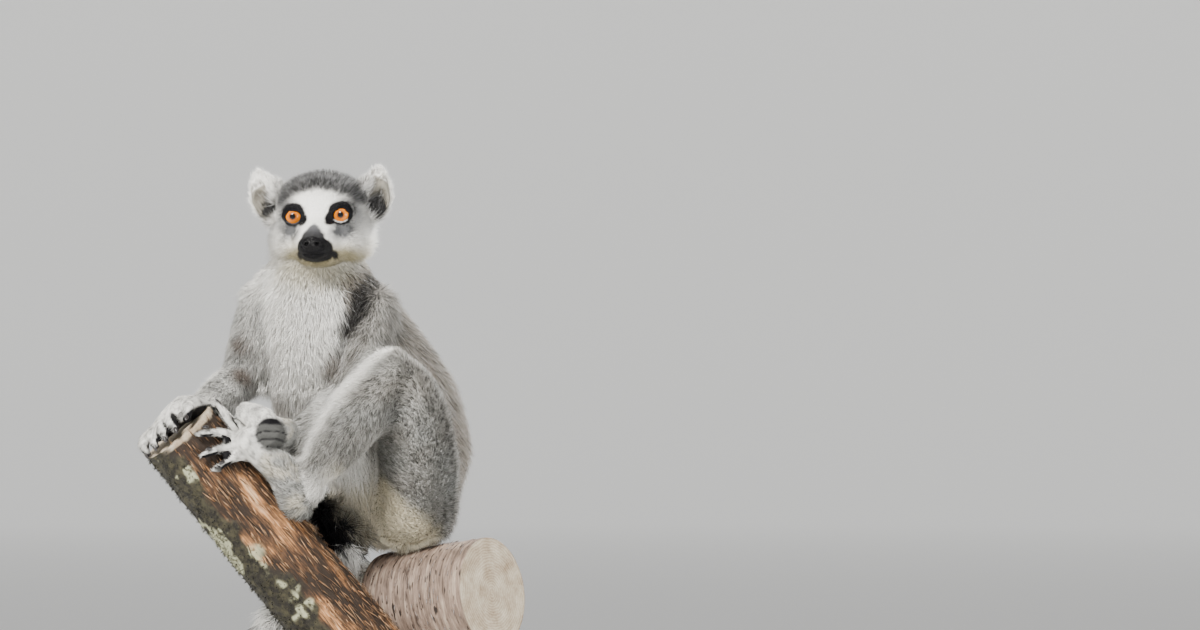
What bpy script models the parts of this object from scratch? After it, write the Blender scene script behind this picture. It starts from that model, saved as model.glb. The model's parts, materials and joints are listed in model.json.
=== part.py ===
"""A ring-tailed lemur at life size, sitting on a short log with its hands and feet on a slanting one.

The animal is a still model on a display stand. It looks towards -Y, +Z is up, and its own left is towards
+X. Lengths below are in millimetres until MM turns them into metres, and the solids reach out to the tips
of the coat. The origin lies at the middle of the stand's underside.
"""

import math

import bmesh
import bpy
from mathutils import Matrix, Vector

MM = 0.001
GAP = 0.35 * MM  # between pieces that touch
HAND_GAP = 0.8 * MM  # between a hand and the foot or log that it lies on

# The stand: a rounded plate and two steel rods, each given by its place and the height that it reaches
# up to, inside its log.
BASE_SIZE = Vector((354, 276, 18))
BASE_CORNER = 16
BASE_CHAMFER = 2.5
ROD_RADIUS = 6
FRONT_ROD = Vector((22, -42, 210))
BACK_ROD = Vector((104, -13, 240))

# The logs, each a straight axis with a radius at both ends. The slanting one is thinner at its raised end.
PERCH_TOP = Vector((-131, -83, 414))
PERCH_LOW = Vector((43, -34, 197))
PERCH_RADII = (36, 40)
SEAT_INNER = Vector((48, 25, 259))
SEAT_OUTER = Vector((138, -36, 273))
SEAT_RADII = (47, 49)

# The animal turns as it sits: the head looks nearly straight out, and the hips are turned the furthest.
HEAD_TURN = 6
HEAD_ROLL = 2
EYE_MIDDLE = Vector((-14, -58, 601))
EYE_APART = 42
EYE_RADIUS = 9.5
EAR_REACH = Vector((48, 44, 18))
EAR_RADII = Vector((19, 10, 28))
EAR_LEAN = 30
EAR_TURN = 20
EAR_HOLLOW = Vector((1.5, -11, 1))  # how far the hollow's own egg is shifted to the front
EAR_HOLLOW_SHARE = 0.86

SHOULDER_RIGHT = Vector((-60, 12, 540))
ELBOW_RIGHT = Vector((-85, -6, 459))
WRIST_RIGHT = Vector((-118, -74, 432))
SHOULDER_LEFT = Vector((36, -34, 522))
ELBOW_LEFT = Vector((16, -60, 442))
WRIST_LEFT = Vector((-37, -82, 410))
HIP_LEFT = Vector((68, -2, 345))
KNEE_LEFT = Vector((55, -78, 474))
ANKLE_LEFT = Vector((-24, -87, 362))
BALL_LEFT = Vector((-69, -106, 407))
HIP_RIGHT = Vector((38, 68, 345))
KNEE_RIGHT = Vector((-22, 96, 452))
ANKLE_RIGHT = Vector((-45, -8, 376))
BALL_RIGHT = Vector((-80, -48, 404))

# Level slices through the trunk: height, middle across and along, half widths sideways and front to back,
# and the turn of the slice. The slices creep forward and turn to the front as the back hunches upwards.
TRUNK_SLICES = (
    (318, 58, 32, 38, 36, 55),
    (336, 56, 32, 49, 49, 55),
    (362, 54, 34, 55, 63, 55),
    (396, 48, 34, 62, 82, 50),
    (430, 28, 32, 71, 101, 47),
    (460, 21, 25, 72, 98, 43),
    (490, 9, 15, 74, 88, 34),
    (516, -2, 7, 69, 74, 28),
    (540, -9, 1, 58, 62, 25),
)
NECK_SLICES = (
    (538, -10, 3, 55, 60, 22),
    (556, -15, -2, 50, 56, 15),
    (576, -16, -8, 46, 51, 8),
    (592, -14, -12, 40, 44, 6),
)
TRUNK_DOME = 16
NECK_DOME = 10

# The tail's middle line from the rump round the far side of the seat, down behind the slanting log.
TAIL_LINE = (
    (80, 64, 336),
    (74, 92, 308),
    (50, 98, 286),
    (20, 84, 284),
    (-4, 60, 302),
    (-10, 34, 324),
    (-6, 10, 332),
    (4, -4, 318),
    (6, -2, 300),
    (0, 9, 280),
    (-18, 20, 268),
    (-42, 26, 258),
    (-59, 26, 236),
    (-69, 22, 204),
    (-72, 16, 168),
    (-68, 11, 132),
    (-53, 10, 98),
    (-27, 14, 76),
    (5, 19, 70),
)
TAIL_RADII = (15, 18, 19, 20, 20, 21, 21, 21, 20, 18, 12)
TAIL_PIECES = 5

TRUNK_SIDES = 20
NECK_SIDES = 14
LOG_SIDES = 24
LIMB_SIDES = 12
TAIL_SIDES = 10
DIGIT_SIDES = 7


def clear_scene():
    for obj in list(bpy.data.objects):
        bpy.data.objects.remove(obj, do_unlink=True)


def material(name, colour, roughness, metallic=0.0):
    found = bpy.data.materials.new(name)
    found.use_nodes = True
    shader = found.node_tree.nodes["Principled BSDF"]
    shader.inputs["Base Color"].default_value = (*colour, 1.0)
    shader.inputs["Roughness"].default_value = roughness
    shader.inputs["Metallic"].default_value = metallic
    return found


def heading(degrees):
    """The forward and the left direction of a body turned this far from facing -Y."""
    turn = math.radians(degrees)
    return Vector((-math.sin(turn), -math.cos(turn), 0)), Vector((math.cos(turn), -math.sin(turn), 0))


def smooth_rows(rows, steps):
    """Rows of numbers with steps - 1 more between each two, on a curve through them all."""
    rows = [Vector(row) for row in rows]
    padded = [rows[0] * 2 - rows[1], *rows, rows[-1] * 2 - rows[-2]]
    made = []
    for a, b, c, d in zip(padded, padded[1:], padded[2:], padded[3:]):
        for step in range(steps):
            t = step / steps
            made.append(
                b + (c - a) * (t / 2) + (a * 2 - b * 5 + c * 4 - d) * (t * t / 2)
                + (b * 3 - a - c * 3 + d) * (t**3 / 2)
            )
    return [*made, rows[-1]]


def skin_rings(name, rings, caps):
    """A closed mesh over rings of points, each end closed by its cap point, or flat where that is None."""
    mesh = bmesh.new()
    loops = [[mesh.verts.new(point * MM) for point in ring] for ring in rings]
    sides = len(loops[0])
    for lower, upper in zip(loops, loops[1:]):
        for i in range(sides):
            j = (i + 1) % sides
            mesh.faces.new((lower[i], lower[j], upper[j], upper[i]))
    for loop, cap in zip((loops[0], loops[-1]), caps):
        if cap is None:
            mesh.faces.new(loop)
            continue
        tip = mesh.verts.new(cap * MM)
        for i in range(sides):
            mesh.faces.new((loop[i], loop[(i + 1) % sides], tip))
    bmesh.ops.recalc_face_normals(mesh, faces=mesh.faces)
    data = bpy.data.meshes.new(name)
    mesh.to_mesh(data)
    mesh.free()
    obj = bpy.data.objects.new(name, data)
    bpy.context.collection.objects.link(obj)
    return obj


def ellipse(middle, first, second, sides):
    turns = [2 * math.pi * i / sides for i in range(sides)]
    return [middle + first * math.cos(turn) + second * math.sin(turn) for turn in turns]


def stack(name, slices, sides, dome):
    """A body of level slices, with a rounded end of the given height below and above."""
    rows = smooth_rows(slices, 2)
    low, high = rows[0], rows[-1]
    levels = [(low, -60), (low, -30), *((row, 0) for row in rows), (high, 30), (high, 60)]
    rings = []
    for (height, across, along, wide, deep, turn), slope in levels:
        rise = dome * math.sin(math.radians(slope))
        share = math.cos(math.radians(slope))
        forward, left = heading(turn)
        middle = Vector((across, along, height + rise))
        rings.append(ellipse(middle, left * wide * share, forward * deep * share, sides))
    caps = [Vector((row[1], row[2], row[0] + side * dome)) for row, side in ((low, -1), (high, 1))]
    return skin_rings(name, rings, caps)


def tube(name, stations, sides=LIMB_SIDES, steps=2, flatten=None, round_ends=(True, True)):
    """A round body along stations of middle and radius. flatten is a direction and how thick it stays in it."""
    rows = smooth_rows([(*middle, radius) for middle, radius in stations], steps)
    middles = [Vector(row[:3]) for row in rows]
    radii = [row[3] for row in rows]
    directions = []
    for i in range(len(middles)):
        directions.append((middles[min(i + 1, len(middles) - 1)] - middles[max(i - 1, 0)]).normalized())
    first = directions[0].orthogonal().normalized()
    rings = []
    for i, (middle, radius, direction) in enumerate(zip(middles, radii, directions)):
        first = (first - direction * first.dot(direction)).normalized()
        second = direction.cross(first)
        tilts = [(0.0, 0)]
        if i == 0 and round_ends[0]:
            tilts = [(math.radians(60), -1), (math.radians(30), -1), (0.0, 0)]
        if i == len(middles) - 1 and round_ends[1]:
            tilts = [(0.0, 0), (math.radians(30), 1), (math.radians(60), 1)]
        for tilt, side in tilts:
            place = middle + direction * side * radius * math.sin(tilt)
            reach = radius * math.cos(tilt)
            ring = ellipse(Vector(), first * reach, second * reach, sides)
            if flatten:
                thin, share = flatten
                ring = [offset - thin * offset.dot(thin) * (1 - share) for offset in ring]
            rings.append([place + offset for offset in ring])
    caps = [
        middles[0] - directions[0] * radii[0] if round_ends[0] else None,
        middles[-1] + directions[-1] * radii[-1] if round_ends[1] else None,
    ]
    return skin_rings(name, rings, caps)


def ball(name, middle, radii, tilt=None, sides=20):
    bpy.ops.mesh.primitive_uv_sphere_add(segments=sides, ring_count=sides // 2, radius=1)
    obj = bpy.context.object
    obj.name = name
    size = Matrix.Diagonal((*(Vector(radii) * MM), 1))
    obj.data.transform(Matrix.Translation(Vector(middle) * MM) @ (tilt or Matrix()) @ size)
    return obj


def apply_modifier(obj, kind, **settings):
    modifier = obj.modifiers.new(kind.title(), kind)
    for key, value in settings.items():
        setattr(modifier, key, value)
    with bpy.context.temp_override(object=obj, active_object=obj, selected_objects=[obj]):
        bpy.ops.object.modifier_apply(modifier=modifier.name)


def melt(name, forms, voxel, smoothing, faces):
    """One closed body over forms that run into each other, smoothed and kept to a number of faces."""
    bpy.ops.object.select_all(action="DESELECT")
    for form in forms:
        form.select_set(True)
    bpy.context.view_layer.objects.active = forms[0]
    bpy.ops.object.join()
    body = bpy.context.object
    body.name = name
    body.data.name = name
    apply_modifier(body, "REMESH", mode="VOXEL", voxel_size=voxel * MM)
    apply_modifier(body, "SMOOTH", factor=0.5, iterations=smoothing)
    apply_modifier(body, "TRIANGULATE")
    apply_modifier(body, "DECIMATE", ratio=faces / len(body.data.polygons))
    return body


def largest_body(obj):
    """Keeps only the biggest separate piece of a mesh."""
    mesh = bmesh.new()
    mesh.from_mesh(obj.data)
    left = set(mesh.verts)
    bodies = []
    while left:
        body = {left.pop()}
        edge = list(body)
        while edge:
            vertex = edge.pop()
            near = {link.other_vert(vertex) for link in vertex.link_edges} - body
            body |= near
            edge.extend(near)
        left -= body
        bodies.append(body)
    bodies.sort(key=len)
    for body in bodies[:-1]:
        bmesh.ops.delete(mesh, geom=list(body), context="VERTS")
    bmesh.ops.dissolve_degenerate(mesh, edges=mesh.edges, dist=0.05 * MM)
    bmesh.ops.dissolve_limit(mesh, angle_limit=math.radians(1), verts=mesh.verts, edges=mesh.edges)
    bmesh.ops.triangulate(mesh, faces=mesh.faces)
    mesh.to_mesh(obj.data)
    mesh.free()


def clear_of(obj, *neighbours, gap=GAP):
    """Cuts a piece back from the pieces that it touches, by the gap."""
    for neighbour in neighbours:
        cutter = neighbour.copy()
        cutter.data = neighbour.data.copy()
        bpy.context.collection.objects.link(cutter)
        apply_modifier(cutter, "DISPLACE", strength=gap, mid_level=0.0)
        apply_modifier(obj, "BOOLEAN", operation="DIFFERENCE", object=cutter, solver="EXACT")
        bpy.data.objects.remove(cutter, do_unlink=True)
    largest_body(obj)
    return obj


def finish(obj, look):
    obj.data.materials.clear()
    obj.data.materials.append(look)
    obj.data.shade_smooth()
    obj.data.set_sharp_from_angle(angle=math.radians(50))


def make_base():
    half = BASE_SIZE * 0.5 * MM
    bpy.ops.mesh.primitive_cube_add(size=1)
    base = bpy.context.object
    base.name = "stand_base"
    base.data.transform(Matrix.Translation((0, 0, half.z)) @ Matrix.Diagonal((*(BASE_SIZE * MM), 1)))
    mesh = bmesh.new()
    mesh.from_mesh(base.data)
    upright = [edge for edge in mesh.edges if abs(edge.verts[0].co.z - edge.verts[1].co.z) > half.z]
    bmesh.ops.bevel(mesh, geom=upright, offset=BASE_CORNER * MM, segments=4, affect="EDGES", profile=0.5)
    top = [edge for edge in mesh.edges if min(vertex.co.z for vertex in edge.verts) > half.z]
    bmesh.ops.bevel(mesh, geom=top, offset=BASE_CHAMFER * MM, segments=1, affect="EDGES", profile=0.5)
    mesh.to_mesh(base.data)
    mesh.free()
    return base


def make_rod(name, top):
    foot = Vector((top.x, top.y, BASE_SIZE.z + GAP / MM))
    return tube(name, ((foot, ROD_RADIUS), (top, ROD_RADIUS)), 16, 1, round_ends=(False, False))


def make_log(name, start, end, radii, steps=5):
    """A log that swells and bends a little, as a grown one does, with both ends sawn square."""
    stations = []
    for i in range(steps + 1):
        share = i / steps
        swell = 1 + 0.02 * math.sin(9 * share + radii[0])
        stations.append((start.lerp(end, share), (radii[0] + (radii[1] - radii[0]) * share) * swell))
    return tube(name, stations, LOG_SIDES, 1, round_ends=(False, False))


def head_place():
    """The matrix that sets the head in place. Its own axes run left, back and up from between the eyes."""
    forward, left = heading(HEAD_TURN)
    axes = Matrix((left, -forward, Vector((0, 0, 1)))).transposed().to_4x4()
    roll = Matrix.Rotation(math.radians(HEAD_ROLL), 4, forward)
    return Matrix.Translation(EYE_MIDDLE * MM) @ roll @ axes


def make_head():
    """The skull with its crown, full cheeks and a short blunt muzzle, in the head's own axes."""
    muzzle = tube("muzzle", (
        (Vector((0, 14, -20)), 27),
        (Vector((0, -5, -23)), 21),
        (Vector((0, -18, -26)), 15.5),
        (Vector((0, -22, -27)), 14),
    ), 20)
    forms = [
        ball("cranium", (0, 44, 2), (45, 47, 40)),
        ball("brow", (0, 24, 12), (34, 23, 26)),
        ball("jaw", (0, 16, -36), (24, 26, 13)),
        ball("nape", (0, 62, -18), (36, 34, 34)),
        muzzle,
    ]
    for side in (-1, 1):
        forms.append(ball("cheek", (side * 25, 32, -20), (24, 30, 27)))
        forms.append(ball("eye_rim", (side * EYE_APART / 2, 13, 0), (15, 13, 15)))
    head = melt("head", forms, 2.5, 5, 620)
    head.data.transform(head_place())
    return head


def make_eye(name, side):
    eye = ball(name, (side * EYE_APART / 2, EYE_RADIUS, 0), (EYE_RADIUS,) * 3, sides=10)
    eye.data.transform(head_place())
    return eye


def make_ear(name, side):
    """A cupped ear: a flattened egg with its front hollowed."""
    lean = Matrix.Rotation(math.radians(side * EAR_LEAN), 4, "Y")
    turn = Matrix.Rotation(math.radians(side * EAR_TURN), 4, "Z")
    mirror = Vector((side, 1, 1))
    middle = EAR_REACH * mirror
    ear = ball(name, middle, EAR_RADII, turn @ lean, 14)
    hollow = ball("hollow", middle + EAR_HOLLOW * mirror, EAR_RADII * EAR_HOLLOW_SHARE, turn @ lean, 12)
    apply_modifier(ear, "BOOLEAN", operation="DIFFERENCE", object=hollow, solver="EXACT")
    bpy.data.objects.remove(hollow, do_unlink=True)
    ear.data.transform(head_place())
    return ear


def limb(name, stations):
    return tube(name, stations, LIMB_SIDES, 2)


def between(start, end, share, aside=(0, 0, 0)):
    return start.lerp(end, share) + Vector(aside)


def on_perch(share, turn, lift):
    """A point over the slanting log: share of its length, turn round it from its far upper side, and lift."""
    axis = (PERCH_LOW - PERCH_TOP).normalized()
    far = (Vector((0, 1, 0)) - axis * axis.y).normalized()
    up = axis.cross(far)
    if up.z < 0:
        up = -up
    angle = math.radians(turn)
    radius = PERCH_RADII[0] + (PERCH_RADII[1] - PERCH_RADII[0]) * share + lift
    return PERCH_TOP.lerp(PERCH_LOW, share) + (far * math.cos(angle) + up * math.sin(angle)) * radius


def digits(rows, radius, lift):
    """Fingers or toes along rows of points over the slanting log, each tapering to its tip."""
    made = []
    for row in rows:
        stations = []
        for i, (share, turn) in enumerate(row):
            stations.append((on_perch(share, turn, lift), radius * (1 - 0.12 * i)))
        made.append(tube("digit", stations, DIGIT_SIDES, 2))
    return made


def make_foot_left():
    """The near foot lies up the log's near upper side, its long toes spread over the bare wood."""
    sole = tube("sole", (
        (ANKLE_LEFT + Vector((-5, 0, -10)), 15),
        (between(ANKLE_LEFT, BALL_LEFT, 0.35), 15),
        (between(ANKLE_LEFT, BALL_LEFT, 0.7), 14),
        (BALL_LEFT, 12),
    ), 14)
    toes = digits((
        ((0.18, 108), (0.12, 118), (0.072, 131), (0.025, 160)),
        ((0.19, 112), (0.14, 126), (0.11, 143), (0.081, 174)),
        ((0.20, 116), (0.17, 130), (0.15, 146), (0.139, 172)),
        ((0.18, 104), (0.10, 102), (0.04, 98), (0.01, 95)),
        ((0.22, 96), (0.20, 80), (0.18, 66), (0.16, 54)),
    ), 5.5, 3.5)
    return melt("foot_left", [sole, *toes], 1.8, 3, 400)


def make_foot_right():
    """The far foot lies up the log's far upper side."""
    sole = tube("sole", (
        (ANKLE_RIGHT + Vector((6, -2, -14)), 14),
        (between(ANKLE_RIGHT, BALL_RIGHT, 0.4), 14),
        (BALL_RIGHT, 12),
    ), 14)
    toes = digits((
        ((0.24, 62), (0.17, 50), (0.11, 42), (0.08, 34)),
        ((0.24, 52), (0.19, 36), (0.14, 24), (0.11, 14)),
        ((0.26, 44), (0.22, 26), (0.19, 10), (0.17, 0)),
    ), 5.5, 3.5)
    return melt("foot_right", [sole, *toes], 1.8, 3, 280)


def make_hand_left():
    """The near hand is bent at the wrist over the foot, and its fingers cross the log's ridge."""
    palm = tube("palm", (
        (WRIST_LEFT + Vector((-4, -4, 2)), 14),
        (Vector((-54, -100, 412)), 17),
        (Vector((-60, -98, 424)), 13),
        (Vector((-72, -90, 430)), 10),
    ), 14)
    fingers = digits((
        ((0.19, 98), (0.12, 84), (0.06, 76), (0.03, 68)),
        ((0.19, 104), (0.12, 96), (0.05, 96), (0.01, 98)),
        ((0.17, 92), (0.12, 72), (0.08, 60), (0.06, 50)),
    ), 5.2, 5)
    return melt("hand_left", [palm, *fingers], 1.8, 3, 320)


def make_hand_right():
    """The far hand folds over the log's sawn end, its fingertips on the near edge of the cut."""
    out = (PERCH_TOP - PERCH_LOW).normalized()
    down = Vector((-out.z, 0, out.x)).normalized()

    def over_cut(fall, near, lift):
        return PERCH_TOP + down * fall + Vector((0, -near, 0)) + out * lift

    palm = tube("palm", (
        (WRIST_RIGHT, 12),
        (over_cut(-16, 0, 13), 12),
        (over_cut(0, 4, 12), 11),
        (over_cut(13, 4, 10), 9),
    ), 12)
    fingers = []
    for fall, reach in ((31, 14), (21, 24), (10, 30), (-2, 33)):
        fingers.append(tube("digit", (
            (over_cut(fall * 0.6 - 2, 2, 13), 6.5),
            (over_cut(fall * 0.85, reach * 0.45, 13), 6),
            (over_cut(fall, reach * 0.85, 9), 5.2),
            (over_cut(fall + 1, reach, 2), 4.2),
        ), DIGIT_SIDES, 2))
    fingers.append(tube("digit", (
        (over_cut(-20, 6, 12), 6.5),
        (over_cut(-20, 22, 10), 5.5),
        (over_cut(-14, 32, 4), 4.5),
    ), DIGIT_SIDES, 2))
    return melt("hand_right", [palm, *fingers], 1.8, 3, 400)


def make_tail(tail_look):
    """The ringed tail in lengths that butt together, the last one closed by its soft tip."""
    middles = smooth_rows(TAIL_LINE, 2)
    count = len(middles) - 1
    spans = len(TAIL_RADII) - 1
    piece_rows = []
    for i in range(TAIL_PIECES):
        first = round(count * i / TAIL_PIECES)
        last = round(count * (i + 1) / TAIL_PIECES)
        rows = []
        for j in range(first, last + 1):
            place = j * spans / count
            low = min(int(place), spans - 1)
            radius = TAIL_RADII[low] + (TAIL_RADII[low + 1] - TAIL_RADII[low]) * (place - low)
            rows.append((Vector(middles[j]), radius))
        if i:
            step = rows[1][0] - rows[0][0]
            rows[0] = (rows[0][0] + step.normalized() * GAP / MM, rows[0][1])
        piece_rows.append(rows)
    pieces = []
    for i, rows in enumerate(piece_rows):
        ends = (i == 0, i == TAIL_PIECES - 1)
        piece = tube(f"tail_{i + 1}", rows, TAIL_SIDES, 1, round_ends=ends)
        finish(piece, tail_look)
        pieces.append(piece)
    return pieces


def build():
    clear_scene()
    white_fur = material("white_fur", (0.80, 0.77, 0.70), 0.9)
    grey_fur = material("grey_fur", (0.42, 0.41, 0.39), 0.9)
    back_fur = material("back_fur", (0.52, 0.48, 0.43), 0.9)
    ringed_fur = material("ringed_fur", (0.20, 0.19, 0.18), 0.9)
    amber = material("amber", (0.75, 0.28, 0.04), 0.1)
    torn_wood = material("torn_wood", (0.33, 0.17, 0.08), 0.85)
    birch_bark = material("birch_bark", (0.42, 0.33, 0.27), 0.8)
    dark_wood = material("dark_wood", (0.10, 0.06, 0.04), 0.5)
    steel = material("steel", (0.60, 0.60, 0.60), 0.3, 1.0)

    base = make_base()
    perch = make_log("perch_log", PERCH_TOP, PERCH_LOW, PERCH_RADII)
    seat = clear_of(make_log("seat_log", SEAT_INNER, SEAT_OUTER, SEAT_RADII), perch)
    rod_front = clear_of(make_rod("stand_rod_front", FRONT_ROD), perch)
    rod_back = clear_of(make_rod("stand_rod_back", BACK_ROD), seat)

    eyes = [make_eye("eye_right", -1), make_eye("eye_left", 1)]
    head = clear_of(make_head(), *eyes)
    ears = [clear_of(make_ear("ear_right", -1), head), clear_of(make_ear("ear_left", 1), head)]
    trunk = clear_of(stack("trunk", TRUNK_SLICES, TRUNK_SIDES, TRUNK_DOME), head, seat, perch)
    neck = clear_of(stack("neck", NECK_SLICES, NECK_SIDES, NECK_DOME), head, trunk, *ears)

    foot_left = clear_of(make_foot_left(), perch)
    foot_right = clear_of(make_foot_right(), perch, foot_left)
    hand_left = clear_of(make_hand_left(), perch, foot_left, foot_right, gap=HAND_GAP)
    hand_right = clear_of(make_hand_right(), perch, gap=HAND_GAP)

    thigh_left = limb("thigh_left", (
        (HIP_LEFT, 42),
        (between(HIP_LEFT, KNEE_LEFT, 0.35, (9, -4, 0)), 40),
        (between(HIP_LEFT, KNEE_LEFT, 0.7, (7, -4, 0)), 36),
        (between(HIP_LEFT, KNEE_LEFT, 0.9, (3, 0, 0)), 27),
        (KNEE_LEFT, 17),
    ))
    clear_of(thigh_left, trunk, seat, perch)
    thigh_right = limb("thigh_right", (
        (HIP_RIGHT, 40),
        (between(HIP_RIGHT, KNEE_RIGHT, 0.4, (0, 8, 2)), 39),
        (between(HIP_RIGHT, KNEE_RIGHT, 0.75, (0, 5, 2)), 32),
        (KNEE_RIGHT, 18),
    ))
    clear_of(thigh_right, trunk, seat, perch)
    shin_left = limb("shin_left", (
        (KNEE_LEFT + Vector((-5, -4, -8)), 24),
        (Vector((24, -88, 432)), 31),
        (Vector((0, -90, 400)), 27),
        (Vector((-17, -90, 377)), 19),
        (ANKLE_LEFT, 15),
    ))
    clear_of(shin_left, foot_left, thigh_left, trunk, perch, hand_left)
    shin_right = limb("shin_right", (
        (KNEE_RIGHT + Vector((-2, -6, -6)), 20),
        (between(KNEE_RIGHT, ANKLE_RIGHT, 0.35, (-4, 0, -4)), 25),
        (between(KNEE_RIGHT, ANKLE_RIGHT, 0.75, (0, 0, -2)), 17),
        (ANKLE_RIGHT, 14),
    ))
    clear_of(shin_right, foot_right, thigh_right, trunk, perch)

    arm_left = limb("upper_arm_left", (
        (SHOULDER_LEFT, 25),
        (between(SHOULDER_LEFT, ELBOW_LEFT, 0.5, (2, -8, 0)), 23),
        (ELBOW_LEFT, 18),
    ))
    clear_of(arm_left, trunk, neck, head, thigh_left, shin_left)
    forearm_left = limb("forearm_left", (
        (ELBOW_LEFT, 17),
        (between(ELBOW_LEFT, WRIST_LEFT, 0.4), 18),
        (WRIST_LEFT, 12),
    ))
    clear_of(forearm_left, hand_left, foot_left, foot_right, shin_left, thigh_left, arm_left, trunk)
    arm_right = limb("upper_arm_right", (
        (SHOULDER_RIGHT, 25),
        (between(SHOULDER_RIGHT, ELBOW_RIGHT, 0.45, (-3, 0, 0)), 21),
        (ELBOW_RIGHT, 19),
    ))
    clear_of(arm_right, trunk, neck, head)
    forearm_right = limb("forearm_right", (
        (ELBOW_RIGHT, 20),
        (between(ELBOW_RIGHT, WRIST_RIGHT, 0.45, (2, 0, -2)), 21),
        (WRIST_RIGHT, 14),
    ))
    clear_of(forearm_right, hand_right, hand_left, foot_right, arm_right, trunk, perch)

    tail = make_tail(ringed_fur)
    clear_of(tail[0], trunk, thigh_right, seat)
    clear_of(tail[1], trunk, thigh_right, thigh_left, shin_right, seat, tail[0])
    for before, piece in zip(tail[1:], tail[2:]):
        clear_of(piece, trunk, seat, perch, before)

    for obj in (head, neck, trunk):
        finish(obj, white_fur)
    for obj in (thigh_left, thigh_right, shin_left, shin_right, arm_left, arm_right, forearm_left, forearm_right):
        finish(obj, grey_fur)
    for obj in (*ears, foot_left, foot_right, hand_left, hand_right):
        finish(obj, back_fur)
    for obj in eyes:
        finish(obj, amber)
    finish(perch, torn_wood)
    finish(seat, birch_bark)
    finish(base, dark_wood)
    finish(rod_front, steel)
    finish(rod_back, steel)


build()
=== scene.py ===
"""A ring-tailed lemur at life size, a still model in skin and coat, on two cut logs and a display stand.

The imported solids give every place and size. Lengths are millimetres in the sections below and are turned
into metres where a mesh is made. The lemur looks towards -Y, and its own left is towards +X.
"""

import itertools
import json
import math

import bmesh
import bpy
import numpy as np
from mathutils import Matrix, Vector
from mathutils.bvhtree import BVHTree

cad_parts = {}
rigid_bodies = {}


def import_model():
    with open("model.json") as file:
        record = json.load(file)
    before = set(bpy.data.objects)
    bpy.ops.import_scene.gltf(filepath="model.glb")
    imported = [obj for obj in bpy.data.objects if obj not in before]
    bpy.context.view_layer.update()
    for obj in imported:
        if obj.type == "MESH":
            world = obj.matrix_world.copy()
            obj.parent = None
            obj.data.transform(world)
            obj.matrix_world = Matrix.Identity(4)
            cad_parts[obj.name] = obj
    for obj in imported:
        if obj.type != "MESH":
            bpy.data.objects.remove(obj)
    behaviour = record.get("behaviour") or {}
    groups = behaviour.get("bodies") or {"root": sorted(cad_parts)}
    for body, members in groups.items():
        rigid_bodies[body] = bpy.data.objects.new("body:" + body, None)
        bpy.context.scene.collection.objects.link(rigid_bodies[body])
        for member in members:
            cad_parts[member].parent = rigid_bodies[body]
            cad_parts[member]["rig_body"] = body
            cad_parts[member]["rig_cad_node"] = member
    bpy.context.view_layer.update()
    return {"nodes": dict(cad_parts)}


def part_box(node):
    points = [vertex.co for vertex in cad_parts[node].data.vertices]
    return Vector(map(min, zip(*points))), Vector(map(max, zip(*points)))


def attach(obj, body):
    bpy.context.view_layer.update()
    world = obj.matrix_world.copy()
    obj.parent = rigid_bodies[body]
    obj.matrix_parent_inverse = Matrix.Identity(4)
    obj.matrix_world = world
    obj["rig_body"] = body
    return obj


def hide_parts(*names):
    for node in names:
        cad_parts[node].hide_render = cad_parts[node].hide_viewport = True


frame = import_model()
bpy.ops.object.select_all(action="DESELECT")


# ------------------------------------------------------------
# The stand: a flat plate of dark oiled oak with rounded corners, and two brushed steel rods let into it.
# The rods carry the logs.
# ------------------------------------------------------------

OAK_DARK = (0.045, 0.022, 0.011, 1)
OAK_LIGHT = (0.13, 0.068, 0.034, 1)
STEEL = (0.56, 0.57, 0.58, 1)


def new_material(name, roughness, metallic=0.0, specular=0.5):
    """A new material, with its tree of nodes and its shader."""
    made = bpy.data.materials.new(name)
    made.use_nodes = True
    tree = made.node_tree
    shader = tree.nodes["Principled BSDF"]
    shader.inputs["Roughness"].default_value = roughness
    shader.inputs["Metallic"].default_value = metallic
    shader.inputs["Specular IOR Level"].default_value = specular
    return made, tree, shader


def add_node(tree, kind, sources, **settings):
    """The outputs of a new node whose inputs are linked to other nodes or hold the given values."""
    node = tree.nodes.new("ShaderNode" + kind)
    for name, value in settings.items():
        setattr(node, name, value)
    for label, source in sources.items():
        if isinstance(source, bpy.types.NodeSocket):
            tree.links.new(source, node.inputs[label])
        else:
            node.inputs[label].default_value = source
    return node.outputs


def ramp(tree, source, stops):
    """A colour ramp over a value. stops are place and colour."""
    node = tree.nodes.new("ShaderNodeValToRGB")
    points = node.color_ramp.elements
    while len(points) < len(stops):
        points.new(0.5)
    for point, (place, colour) in zip(points, stops):
        point.position = place
        point.color = colour
    tree.links.new(source, node.inputs["Fac"])
    return node.outputs["Color"]


def stretched(tree, stretch):
    """Object coordinates, stretched so that a pattern runs the way the material does."""
    sources = {"Vector": add_node(tree, "TexCoord", {})["Object"], "Scale": stretch}
    return add_node(tree, "Mapping", sources, vector_type="TEXTURE")["Vector"]


def noise(tree, vector, scale, detail=4, roughness=0.55):
    sources = {"Vector": vector, "Scale": scale, "Detail": detail, "Roughness": roughness}
    return add_node(tree, "TexNoise", sources)["Fac"]


def bump(tree, shader, height, distance):
    """Raises a material's surface by a height, of which 1 stands for the distance in metres."""
    sources = {"Height": height, "Distance": distance, "Strength": 1.0}
    tree.links.new(add_node(tree, "Bump", sources)["Normal"], shader.inputs["Normal"])


oak, tree, shader = new_material("oiled_oak", 0.42)
grain = noise(tree, stretched(tree, (9, 1, 1)), 260, 6)
tree.links.new(ramp(tree, grain, ((0.35, OAK_DARK), (0.7, OAK_LIGHT))), shader.inputs["Base Color"])
bump(tree, shader, grain, 0.0002)

steel, tree, shader = new_material("brushed_steel", 0.3, 1.0)
shader.inputs["Base Color"].default_value = STEEL
brushing = noise(tree, stretched(tree, (40, 40, 1)), 90, 3)
bump(tree, shader, brushing, 0.00005)

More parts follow.
